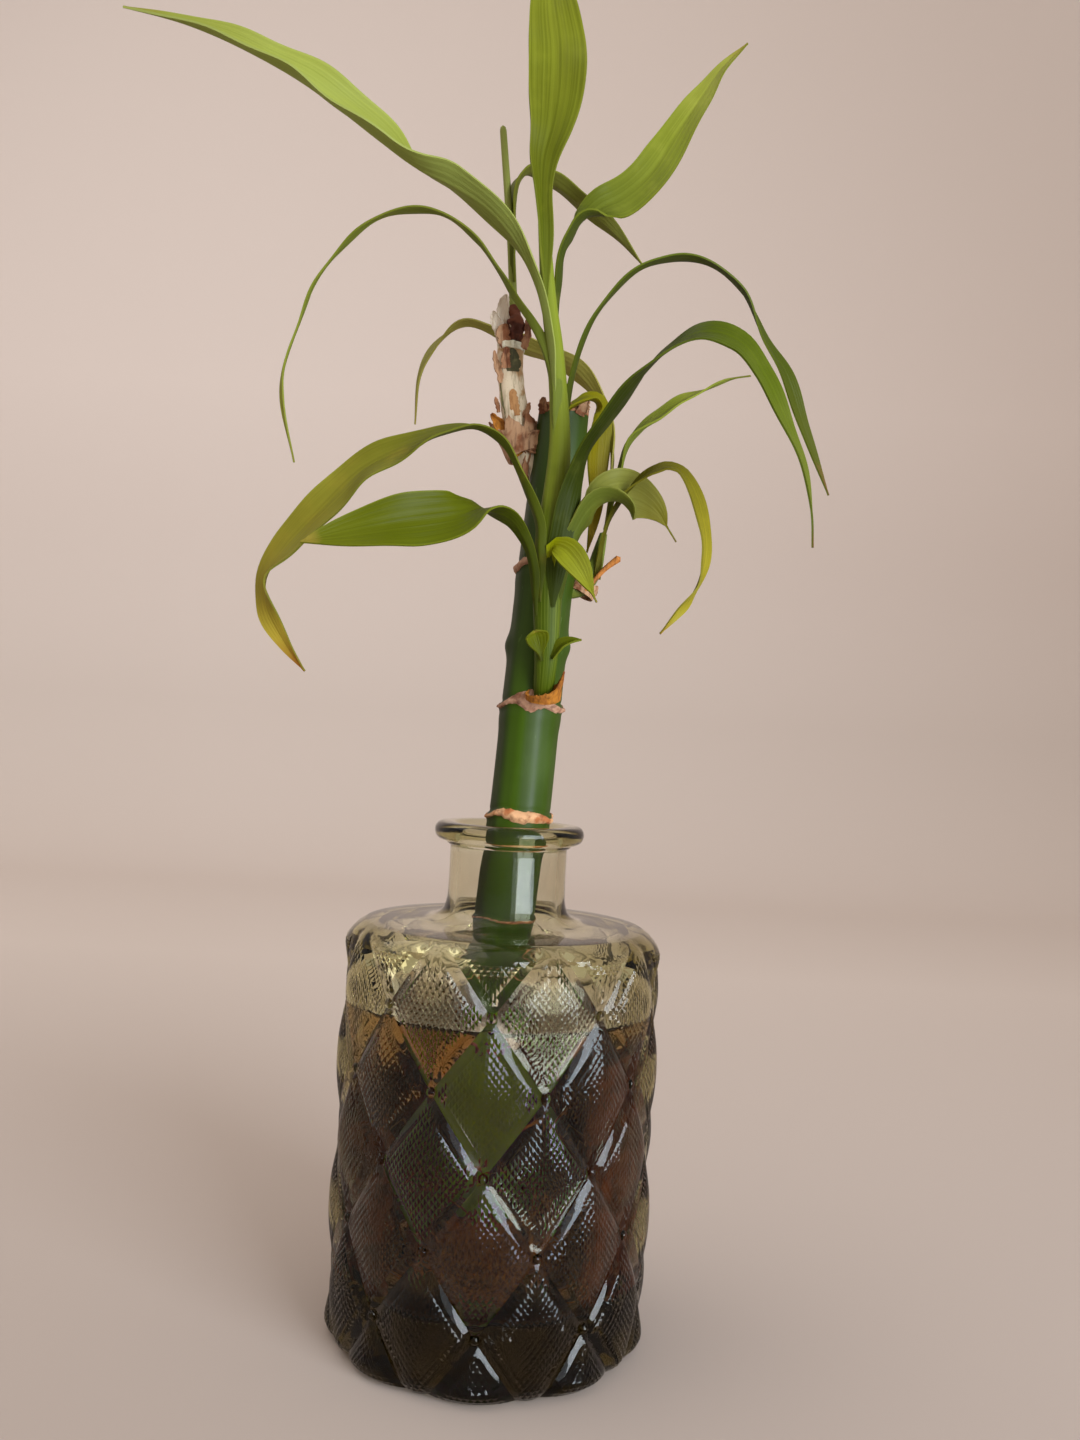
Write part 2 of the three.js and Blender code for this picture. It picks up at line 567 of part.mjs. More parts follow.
// Ragged cups of dry sheath round the foot of a shoot
const CUPS = {
  amber_bud_sheath: {
    foot: [5.8, -4, 138.4], axis: [0, -0.4, 1], radius: 3.6, colour: 'amber',
    heights: [6.5, 4, 2.2, 2, 2.2, 1.6, 1.2, 1, 1.2, 1.6, 2, 2.4, 2.8, 4.5],
  },
  dried_shoot_collar: {
    foot: [-0.6, 7.8, 192.6], axis: [-0.42, 0.1, 1], radius: 4.5, colour: 'husk',
    heights: [6, 9, 5.5, 7, 10, 8, 6.5, 11, 8, 6, 9, 5, 8, 5],
  },
  right_shoot_sheath: {
    foot: [13, 6.4, 163], axis: [0.5, 0.1, 1], radius: 2.9, colour: 'husk',
    heights: [2, 3.5, 2.5, 3, 2, 1.5, 2.4, 1.6, 2, 3],
  },
};

// Dead bud: a lumpy, pointed cone on top of the dried shoot
function deadBudSolid() {
  const route = [[-5.8, 9.6, 221], [-5.6, 9.3, 224.4], [-5.7, 9.6, 229.6]];
  const halfWidths = [[2.3, 2.1], [2.7, 2.2], [1.9, 1.6], [0.9, 0.8]];
  return toSolid(stem({ route, halfWidths, sides: 9, rows: 6 }));
}

const plant = new THREE.Group();

function addPiece(name, solid, colour, roughness = 0.6) {
  const material = new THREE.MeshStandardMaterial({ color: COLOURS[colour], roughness, metalness: 0 });
  if (colour === 'glass' || colour === 'water') {
    material.transparent = true;
    material.opacity = 0.5;
  }
  const mesh = new THREE.Mesh(toGeometry(solid), material);
  mesh.name = name;
  plant.add(mesh);
}

const grownCane = caneSolid(GAP);
addPiece('glass_bottle', bottleSolid(), 'glass', 0.05);
addPiece('water', waterSolid([grownCane, rootSolid(GAP)]), 'water', 0.02);
addPiece('cane', caneSolid(), 'cane', 0.35);
addPiece('roots', cutBy(rootSolid(), [grownCane]), 'root');

// Each piece of the plant is cut clear of the cane and of the pieces placed before it
const placed = [grownCane];
for (const [name, shape] of Object.entries(STEMS)) {
  addPiece(name, cutBy(toSolid(stem(shape)), placed), shape.colour);
  placed.push(toSolid(stem(shape, GAP)));
}
addPiece('dead_bud', cutBy(deadBudSolid(), placed), 'deadBud');
placed.push(deadBudSolid());
for (const [name, shape] of Object.entries(CUPS)) {
  addPiece(name, cutBy(toSolid(raggedCup(shape)), placed), shape.colour);
}
for (const [name, shape] of Object.entries(LEAVES)) {
  addPiece(name, cutBy(toSolid(blade(shape)), placed), shape.colour, 0.45);
  placed.push(toSolid(blade(shape, GAP)));
}

export default plant;
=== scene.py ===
"""A lucky bamboo cane with leafy side shoots, standing in water in a quilted glass bottle.

The shapes are worked out in millimetres from the same lines and widths as the solids that they
stand for, and are placed in metres.
"""
import logging
import math
from collections.abc import Callable, Sequence
from dataclasses import dataclass
from enum import Enum
from functools import cache, cached_property, partial

import bpy
import numpy as np
from mathutils import Matrix, Vector, noise


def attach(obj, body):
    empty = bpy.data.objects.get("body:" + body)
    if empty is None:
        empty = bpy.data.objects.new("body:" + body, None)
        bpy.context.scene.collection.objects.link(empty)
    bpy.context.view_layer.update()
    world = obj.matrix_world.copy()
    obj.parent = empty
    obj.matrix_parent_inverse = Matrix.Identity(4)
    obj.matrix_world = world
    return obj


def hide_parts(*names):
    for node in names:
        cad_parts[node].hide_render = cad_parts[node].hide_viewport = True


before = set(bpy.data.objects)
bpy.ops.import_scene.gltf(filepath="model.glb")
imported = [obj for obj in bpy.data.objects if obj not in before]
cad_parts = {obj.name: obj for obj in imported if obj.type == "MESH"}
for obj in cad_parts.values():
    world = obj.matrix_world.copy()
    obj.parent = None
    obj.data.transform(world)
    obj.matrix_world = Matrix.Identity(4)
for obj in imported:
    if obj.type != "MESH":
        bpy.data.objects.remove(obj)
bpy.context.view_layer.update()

LOG = logging.getLogger("bamboo")

MM = 0.001
FRONT = np.array([0.0, -1.0, 0.0])
WELD_REACH = 2e-6

Point = tuple[float, float, float]
Rgb = tuple[float, float, float]
Pairs = tuple[tuple[float, float], ...]
Form = Callable[[np.ndarray, np.ndarray], np.ndarray]
Object = bpy.types.Object
Material = bpy.types.Material
Socket = bpy.types.NodeSocket


class Slot(Enum):
    """The record's material slots."""

    GLASS = "smoky_glass"
    WATER = "water"
    CANE = "cane"
    ROOT = "root"
    STEM = "shoot_stem"
    DRY_STEM = "dry_stem"
    DEAD_BUD = "dead_bud"
    AMBER = "amber_sheath"
    HUSK = "husk"
    LEAF_GREEN = "leaf_green"
    LEAF_DARK = "leaf_dark"
    LEAF_PALE = "leaf_pale"
    LEAF_OLIVE = "leaf_olive"


class LeafSide(Enum):
    """The two faces of a blade."""

    UPPER = "upper"
    UNDER = "under"


# Small sums that the shapes share


def smoothstep(value: np.ndarray, low: float, high: float) -> np.ndarray:
    """Rises smoothly from 0 at low to 1 at high."""
    share = np.clip((value - low) / (high - low), 0.0, 1.0)
    return share * share * (3.0 - 2.0 * share)


def smootherstep(share: np.ndarray) -> np.ndarray:
    """Rises more gently still from 0 at 0 to 1 at 1."""
    s = np.clip(share, 0.0, 1.0)
    return s * s * s * (s * (6.0 * s - 15.0) + 10.0)


def bridge(share: np.ndarray, start: np.ndarray, end: np.ndarray, leave: np.ndarray,
           arrive: np.ndarray) -> np.ndarray:
    """Runs smoothly from one value to the next.

    Args:
        share: How far along the span, from 0 to 1.
        start: The value at its start.
        end: The value at its end.
        leave: The slope at its start.
        arrive: The slope at its end.

    Returns:
        The value at each share.
    """
    square, cube = share**2, share**3
    first = (2 * cube - 3 * square + 1) * start + (cube - 2 * square + share) * leave
    second = (3 * square - 2 * cube) * end + (cube - square) * arrive
    return first + second


def run_through(values: Sequence[float], share: np.ndarray) -> np.ndarray:
    """Reads a smooth run through evenly spaced values.

    Args:
        values: The values at even steps from 0 to 1.
        share: Where to read it, from 0 to 1.

    Returns:
        The value at each share.
    """
    known = np.array(values, float)
    slopes = np.gradient(known)
    place = np.clip(share, 0.0, 1.0) * (len(known) - 1)
    start = np.minimum(place.astype(int), len(known) - 2)
    return bridge(place - start, known[start], known[start + 1], slopes[start], slopes[start + 1])


def unit(vectors: np.ndarray) -> np.ndarray:
    """Scales each row to length 1."""
    return vectors / np.linalg.norm(vectors, axis=1, keepdims=True)


def signed_power(value: np.ndarray, power: float) -> np.ndarray:
    """Raises a value's size to a power and keeps its sign."""
    return np.sign(value) * np.abs(value) ** power


def stack(x: np.ndarray, y: np.ndarray, z: np.ndarray) -> np.ndarray:
    """Puts three numbers together, one point a row."""
    return np.stack(np.broadcast_arrays(x, y, z), 1)


def rough(points: np.ndarray, scale: float, seed: float = 0.0) -> np.ndarray:
    """Reads Perlin noise at points in millimetres.

    Args:
        points: One point a row.
        scale: Lumps per millimetre.
        seed: Moves the pattern.

    Returns:
        A value from about -1 to 1 for each point.
    """
    shift = Vector((seed, seed * 1.7, -seed))
    return np.array([noise.noise(Vector(point) * scale + shift) for point in points])


class Route:
    """A smooth line through given points, read by the share of its length."""

    STEPS_PER_SPAN = 32

    def __init__(self, points: Sequence[Point]) -> None:
        """Runs the line through the points.

        Args:
            points: The points, in millimetres.
        """
        known = np.array(points, float)
        known = np.vstack([2 * known[0] - known[1], known, 2 * known[-1] - known[-2]])
        share = np.linspace(0.0, 1.0, self.STEPS_PER_SPAN, endpoint=False)[:, None]
        spans = []
        for a, b, c, d in zip(known, known[1:], known[2:], known[3:]):
            first, middle, last = (
                math.sqrt(np.linalg.norm(step)) for step in (b - a, c - b, d - c))
            leave = ((b - a) / first - (c - a) / (first + middle) + (c - b) / middle) * middle
            arrive = ((c - b) / middle - (d - b) / (middle + last) + (d - c) / last) * middle
            spans.append(bridge(share, b, c, leave, arrive))
        self.line = np.vstack([*spans, known[-2]])
        steps = np.linalg.norm(np.diff(self.line, axis=0), axis=1)
        self.reach = np.concatenate([[0.0], np.cumsum(steps)])
        self.length = float(self.reach[-1])
        self.along = unit(np.gradient(self.line, axis=0))

    def at(self, share: np.ndarray) -> tuple[np.ndarray, np.ndarray]:
        """Reads the line.

        Args:
            share: Shares of the length, from 0 to 1.

        Returns:
            The points and the unit directions there.
        """
        where = np.clip(share, 0.0, 1.0) * self.length
        centre, along = (np.stack([np.interp(where, self.reach, axis) for axis in rows.T], 1)
                         for rows in (self.line, self.along))
        return centre, unit(along)

    def at_height(self, height: np.ndarray) -> np.ndarray:
        """Reads a rising line by height, and goes straight up past its ends."""
        return np.stack([np.interp(height, self.line[:, 2], axis) for axis in self.line.T[:2]], 1)


def smooth_line(points: Pairs, count: int, base: float = 0.0) -> np.ndarray:
    """Runs a smooth outline through radius and height pairs.

    Args:
        points: The pairs, in millimetres.
        count: How many even steps to read it at.
        base: Added to the heights.

    Returns:
        Radius and height pairs, one a row.
    """
    route = Route([(radius, 0.0, base + height) for radius, height in points])
    return route.at(np.linspace(0.0, 1.0, count))[0][:, [0, 2]]


def read_line(line: np.ndarray, row: np.ndarray) -> tuple[np.ndarray, np.ndarray]:
    """Reads the radius and the height at rows of an outline, or between them."""
    return tuple(np.interp(row, np.arange(len(line)), column) for column in line.T)


def spin(radius: np.ndarray, angle: np.ndarray, height: np.ndarray) -> np.ndarray:
    """Gives points round the upright axis, from the front towards +X."""
    return stack(radius * np.sin(angle), -radius * np.cos(angle), height)


# Modelling steps


def wake(obj: Object) -> None:
    """Selects one object alone and makes it the active one."""
    bpy.ops.object.select_all(action="DESELECT")
    obj.select_set(True)
    bpy.context.view_layer.objects.active = obj


def lay_grid(name: str, columns: int, rows: int) -> Object:
    """Adds a flat unit grid with a UV map, to be shaped later.

    Args:
        name: The object's name.
        columns: Faces across.
        rows: Faces along.

    Returns:
        The grid.
    """
    bpy.ops.object.select_all(action="DESELECT")
    bpy.ops.mesh.primitive_grid_add(x_subdivisions=columns, y_subdivisions=rows, size=1,
                                    calc_uvs=True)
    obj = bpy.context.active_object
    obj.name = name
    return obj


def read_points(obj: Object) -> np.ndarray:
    """Reads the points of a mesh, one a row."""
    places = np.empty(len(obj.data.vertices) * 3, np.float32)
    obj.data.vertices.foreach_get("co", places)
    return places.reshape(-1, 3)


def weld(obj: Object, reach: float) -> None:
    """Joins the points that meet at seams and poles, and turns the faces outwards.

    Args:
        obj: The piece.
        reach: How near the points are, in metres.
    """
    wake(obj)
    bpy.ops.object.mode_set(mode="EDIT")
    bpy.ops.mesh.select_all(action="SELECT")
    bpy.ops.mesh.remove_doubles(threshold=reach)
    bpy.ops.mesh.normals_make_consistent(inside=False)
    bpy.ops.object.mode_set(mode="OBJECT")


def thicken(obj: Object, thickness: float, under_slot: int) -> None:
    """Gives a sheet its thickness, half to each side.

    Args:
        obj: The sheet.
        thickness: In millimetres.
        under_slot: How far the material index of the under side and the rim is moved on.
    """
    wake(obj)
    solidify = obj.modifiers.new("thickness", "SOLIDIFY")
    solidify.thickness = thickness * MM
    solidify.offset = 0.0
    solidify.material_offset = under_slot
    solidify.material_offset_rim = under_slot
    bpy.ops.object.modifier_apply(modifier=solidify.name)


def smooth(obj: Object, angle: float) -> None:
    """Shades a piece smooth, with edges sharper than the angle left crisp."""
    wake(obj)
    bpy.ops.object.shade_smooth_by_angle(angle=math.radians(angle))


def complete(obj: Object, form: Form, *materials: Material, reach: float = 0.0,
             thickness: float = 0.0, crisp: float = 0.0) -> Object:
    """Shapes a flat grid into a piece and dresses it.

    Args:
        obj: The grid.
        form: Gives points in millimetres from the shares across and along the grid.
        materials: Its finishes; the second one goes on the under side of a sheet.
        reach: How near points at seams and poles are joined, in metres, or 0.
        thickness: The thickness of a sheet, in millimetres, or 0.
        crisp: Edges sharper than this, in degrees, stay crisp; at 0 the shading is left.

    Returns:
        The piece.
    """
    flat = read_points(obj).astype(float)
    places = form(flat[:, 0] + 0.5, flat[:, 1] + 0.5) * MM
    obj.data.vertices.foreach_set("co", places.astype(np.float32).ravel())
    obj.data.update()
    for material in materials:
        obj.data.materials.append(material)
    if reach > 0.0:
        weld(obj, reach)
    if thickness > 0.0:
        thicken(obj, thickness, len(materials) - 1)
    if crisp > 0.0:
        smooth(obj, crisp)
    return obj


def join(name: str, pieces: Sequence[Object]) -> Object:
    """Joins pieces into one object.

    Args:
        name: Its name.
        pieces: The pieces.

    Returns:
        The object.
    """
    bpy.ops.object.select_all(action="DESELECT")
    for piece in pieces:
        piece.select_set(True)
    bpy.context.view_layer.objects.active = pieces[0]
    bpy.ops.object.join()
    pieces[0].name = name
    return pieces[0]


def seat(obj: Object, slot: Slot, node: str | None = None) -> None:
    """Fixes a finished piece to the one body.

    Args:
        obj: The piece.
        slot: The record's slot; it is only written to the log.
        node: The solid that it stands for.
    """
    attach(obj, "root")
    if node is not None:
        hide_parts(node)
    LOG.info("%s: %d faces, slot %s", obj.name, len(obj.data.polygons), slot.value)


# Finishes


def to_light(value: float) -> float:
    """Turns one part of a colour seen on a screen, from 0 to 255, into light."""
    share = value / 255.0
    return share / 12.92 if share <= 0.04045 else ((share + 0.055) / 1.055) ** 2.4


def srgb(red: float, green: float, blue: float) -> tuple[float, float, float, float]:
    """Turns a colour seen on a screen, from 0 to 255, into light."""
    return to_light(red), to_light(green), to_light(blue), 1.0


class Shader:
    """One material's nodes, with short calls for the ones that the finishes share."""

    def __init__(self, name: str) -> None:
        """Starts an empty material.

        Args:
            name: Its name.
        """
        self.material = bpy.data.materials.new(name)
        self.material.use_nodes = True
        self.tree = self.material.node_tree
        self.tree.nodes.clear()
        self.output = self.node("ShaderNodeOutputMaterial")

    def node(self, kind: str, inputs: dict | None = None, **settings: object) -> bpy.types.Node:
        """Adds a node.

        Args:
            kind: Its type.
            inputs: Values or other nodes' sockets for its inputs, by name or number.
            settings: Its own settings.

        Returns:
            The node.
        """
        made = self.tree.nodes.new(kind)
        for key, value in settings.items():
            setattr(made, key, value)
        for key, value in (inputs or {}).items():
            if isinstance(value, Socket):
                self.tree.links.new(value, made.inputs[key])
            else:
                made.inputs[key].default_value = value
        return made

    def calc(self, operation: str, *values: object) -> Socket:
        """Adds a Math node over numbers or sockets."""
        return self.node("ShaderNodeMath", dict(enumerate(values)), operation=operation).outputs[0]

    def place(self, kind: str, stretch: Point = (1.0, 1.0, 1.0)) -> Socket:
        """Reads Object or UV coordinates, stretched."""
        source = self.node("ShaderNodeTexCoord").outputs[kind]
        return self.node("ShaderNodeMapping", {"Vector": source, "Scale": stretch}).outputs[0]

    def axes(self, kind: str) -> tuple[Socket, ...]:
        """Reads the three numbers of Object or UV coordinates."""
        source = self.node("ShaderNodeTexCoord").outputs[kind]
        return tuple(self.node("ShaderNodeSeparateXYZ", {0: source}).outputs)

    def attribute(self, name: str) -> Socket:
        """Reads a number that the mesh keeps."""
        return self.node("ShaderNodeAttribute", attribute_name=name).outputs["Fac"]

    def noise(self, kind: str, scale: float, detail: float, stretch: Point = (1.0, 1.0, 1.0),
              distortion: float = 0.0) -> Socket:
        """Adds cloudy noise from 0 to 1.

        Args:
            kind: The coordinates that it follows, Object or UV.
            scale: Clouds per unit.
            detail: How many finer layers it has.
            stretch: How much denser it is along each axis.
            distortion: How far it swirls.

        Returns:
            The noise.
        """
        inputs = {"Vector": self.place(kind, stretch), "Scale": scale, "Detail": detail,
                  "Distortion": distortion}
        return self.node("ShaderNodeTexNoise", inputs).outputs["Fac"]

    def cells(self, kind: str, scale: float) -> Socket:
        """Adds the distance to the nearest of scattered points."""
        inputs = {"Vector": self.place(kind), "Scale": scale}
        return self.node("ShaderNodeTexVoronoi", inputs).outputs["Distance"]

    def between(self, value: Socket, low: float, high: float) -> Socket:
        """Rises smoothly from 0 to 1 between two values, or falls where low is over high."""
        inputs = {"Value": value, "From Min": low, "From Max": high}
        made = self.node("ShaderNodeMapRange", inputs, interpolation_type="SMOOTHSTEP")
        return made.outputs["Result"]

    def ramp(self, factor: Socket, stops: Sequence[tuple[float, Rgb]]) -> Socket:
        """Runs through colours.

        Args:
            factor: Where to read the run, from 0 to 1.
            stops: The places and the on-screen colours.

        Returns:
            The colour.
        """
        made = self.node("ShaderNodeValToRGB", {"Fac": factor})
        elements = made.color_ramp.elements
        while len(elements) < len(stops):
            elements.new(0.5)
        for element, (place, colour) in zip(elements, stops):
            element.position = place
            element.color = srgb(*colour)
        return made.outputs["Color"]

    def mix(self, factor: object, first: object, second: object, blend: str = "MIX") -> Socket:
        """Mixes two colours.

        Args:
            factor: The share of the second one.
            first: A socket or an on-screen colour.
            second: The same.
            blend: How they mix.

        Returns:
            The colour.
        """
        pair = [part if isinstance(part, Socket) else srgb(*part) for part in (first, second)]
        inputs = {0: factor, 6: pair[0], 7: pair[1]}
        return self.node("ShaderNodeMix", inputs, data_type="RGBA", blend_type=blend).outputs[2]

    def lay(self, colour: object, over: object, value: Socket, low: float, high: float,
            amount: float = 1.0) -> Socket:
        """Lays a colour over another where a value is high.

        Args:
            colour: The ground, a socket or an on-screen colour.
            over: The colour over it.
            value: What decides the place.
            low: The value where it starts.
            high: The value where it is full.
            amount: How much of it there is where it is full.

        Returns:
            The colour.
        """
        share = self.between(value, low, high)
        if amount != 1.0:
            share = self.calc("MULTIPLY", share, amount)
        return self.mix(share, colour, over)

    def bump(self, height: Socket, strength: float, distance: float,
             under: Socket | None = None) -> Socket:
        """Turns a height into a normal.

        Args:
            height: The height, from 0 to 1.
            strength: How much of it counts.
            distance: What 1 stands for, in millimetres.
            under: The normal of a coarser relief under it.

        Returns:
            The normal.
        """
        inputs = {"Height": height, "Strength": strength, "Distance": distance * MM}
        if under is not None:
            inputs["Normal"] = under
        return self.node("ShaderNodeBump", inputs).outputs[0]

    def skin(self, colour: Socket, roughness: object, shine: float, relief: Socket | None = None,
             through: float = 0.0, glow: dict | None = None) -> Material:
        """Ends the material as an opaque or thin skin.

        Args:
            colour: Its colour.
            roughness: Its roughness, a number or a socket.
            shine: Its specular level.
            relief: Its normal.
            through: The share of the light that passes through it.
            glow: The inputs of the shader of that light.

        Returns:
            The material.
        """
        inputs = {"Base Color": colour, "Roughness": roughness, "Specular IOR Level": shine}
        if relief is not None:
            inputs["Normal"] = relief
        face = self.node("ShaderNodeBsdfPrincipled", inputs).outputs[0]
        if through > 0.0:
            passed = self.node("ShaderNodeBsdfTranslucent", glow).outputs[0]
            face = self.node("ShaderNodeMixShader", {0: through, 1: face, 2: passed}).outputs[0]
        self.tree.links.new(face, self.output.inputs["Surface"])
        return self.material


@dataclass(frozen=True)
class ClearFinish:
    """Glass or water: how it bends light, and what it takes from it over a length."""

    name: str
    ior: float
    roughness: float
    taken_per_metre: Rgb
    smudged: bool = False
    shine: float = 1.0

    def material(self) -> Material:
        """Makes the material.

        Returns:
            A clear material, with any smudges that soften the gloss in places.
        """
        shader = Shader(self.name)
        density = max(self.taken_per_metre) * 1.15
        tint = [1.0 - taken / density for taken in self.taken_per_metre]
        inputs = {"Base Color": (1.0, 1.0, 1.0, 1.0), "Transmission Weight": 1.0, "IOR": self.ior,
                  "Roughness": self.roughness, "Specular Tint": (*[self.shine] * 3, 1.0)}
        if self.smudged:
            smudges = shader.noise("Object", 55.0, 5.0, distortion=0.6)
            inputs["Roughness"] = shader.calc("MULTIPLY", shader.between(smudges, 0.5, 0.8), 0.05)
            inputs["Normal"] = shader.bump(shader.noise("Object", 130.0, 2.0), 0.25, 0.12)
        surface = shader.node("ShaderNodeBsdfPrincipled", inputs)
        inside = {"Color": (*tint, 1.0), "Density": density}
        volume = shader.node("ShaderNodeVolumeAbsorption", inside)
        for name, made in (("Surface", surface), ("Volume", volume)):
            shader.tree.links.new(made.outputs[0], shader.output.inputs[name])
        return shader.material


@dataclass(frozen=True)
class LeafFinish:
    """The colours of one leaf from its base to its tip, on both faces."""

    name: str
    base: Rgb
    middle: Rgb
    outer: Rgb
    tip: Rgb
    under: Rgb
    end: Rgb = (150, 130, 50)
    margin: Rgb = (146, 152, 40)
    streaks: float = 0.35
    light_through: float = 0.32
    groove: Rgb = (205, 208, 170)
    backlight: Rgb = (190, 196, 30)
    under_share: float = 0.72
    upper_gloss: float = 0.3
    under_gloss: float = 0.42

    @cache
    def material(self, side: LeafSide) -> Material:
        """Makes the material of one face, once.

        Args:
            side: Which face.

        Returns:
            A material with lengthwise veins that let some light through.
        """
        shader = Shader(f"{self.name}_{side.value}")
        across, along, _ = shader.axes("UV")
        blotches = shader.noise("Object", 160.0, 4.0)
        fine_veins = shader.noise("UV", 1.0, 3.0, (95.0, 2.2, 1.0))
        broad_veins = shader.noise("UV", 1.0, 2.0, (22.0, 1.1, 1.0))
        wander = shader.calc("MULTIPLY_ADD", blotches, 0.12, shader.calc("SUBTRACT", along, 0.06))
        colour = shader.ramp(wander, [(0.0, self.base), (0.3, self.middle), (0.72, self.outer),
                                      (0.94, self.tip), (0.995, self.end)])
        if side is LeafSide.UNDER:
            colour = shader.mix(self.under_share, colour, self.under)
        pale = shader.mix(0.4, colour, self.margin)
        colour = shader.lay(colour, pale, fine_veins, 0.3, 0.7, 0.5 * self.streaks)
        dark = shader.mix(1.0, colour, self.groove, "MULTIPLY")
        colour = shader.lay(colour, dark, broad_veins, 0.4, 0.66, self.streaks)
        aged = shader.mix(0.5, colour, self.tip)
        colour = shader.lay(colour, aged, blotches, 0.52, 0.74, 0.35)
        from_rib = shader.calc("ABSOLUTE", shader.calc("MULTIPLY_ADD", across, 2.0, -1.0))
        colour = shader.lay(colour, self.margin, from_rib, 0.93, 0.99, 0.3)
        relief = shader.bump(broad_veins, 0.35, 0.25, shader.bump(fine_veins, 0.3, 0.05))
        base_gloss = self.upper_gloss if side is LeafSide.UPPER else self.under_gloss
        gloss = shader.calc("MULTIPLY_ADD", blotches, 0.22, base_gloss)
        glow = {"Color": shader.mix(0.3, colour, self.backlight), "Normal": relief}
        return shader.skin(colour, gloss, 0.1, relief, self.light_through, glow)


@dataclass(frozen=True)
class StemFinish:
    """A green stem or sheath with lengthwise streaks."""

    name: str
    low: Rgb
    high: Rgb
    streak: Rgb

    def material(self) -> Material:
        """Makes the material from the piece's own UV map, which runs round and along it.

        Returns:
            The material.
        """
        shader = Shader(self.name)
        _, along, _ = shader.axes("UV")
        lines = shader.noise("UV", 1.0, 3.0, (42.0, 1.6, 1.0))
        fine = shader.noise("UV", 1.0, 2.0, (150.0, 4.0, 1.0))
        cloud = shader.noise("Object", 140.0, 3.0)
        run = shader.calc("MULTIPLY_ADD", cloud, 0.3, shader.calc("SUBTRACT", along, 0.15))
        colour = shader.ramp(run, [(0.0, self.low), (0.26, self.low), (0.5, self.high)])
        colour = shader.lay(colour, self.streak, lines, 0.42, 0.72, 0.35)
        relief = shader.bump(fine, 0.4, 0.05, shader.bump(lines, 0.4, 0.15))
        return shader.skin(colour, shader.calc("MULTIPLY_ADD", cloud, 0.25, 0.34), 0.1, relief)


@dataclass(frozen=True)
class DryFinish:
    """Dead, papery or woody tissue: a pale ground, stains and dark fibres."""

    name: str
    pale: Rgb
    stain: Rgb
    dark: Rgb
    stained: float = 0.5
    fibres: Point = (300.0, 300.0, 45.0)
    light_through: float = 0.0
    shine: float = 0.25
    roughness: float = 0.78

    @cache
    def material(self) -> Material:
        """Makes the material, once, with stains, fibres along the height and dark pits.

        Returns:
            The material.
        """
        shader = Shader(self.name)
        stains = shader.noise("Object", 210.0, 4.0, distortion=0.5)
        fibres = shader.noise("Object", 5.0, 4.0, self.fibres)
        pits = shader.cells("Object", 1500.0)
        edge = 0.62 - 0.3 * self.stained
        colour = shader.lay(self.pale, self.stain, stains, edge, edge + 0.14)
        colour = shader.lay(colour, self.dark, fibres, 0.48, 0.7, 0.6)
        colour = shader.lay(colour, self.dark, pits, 0.22, 0.05, 0.35)
        relief = shader.bump(fibres, 0.8, 0.18, shader.bump(stains, 0.5, 0.3))
        return shader.skin(colour, self.roughness, self.shine, relief, self.light_through,
                           {"Color": colour})


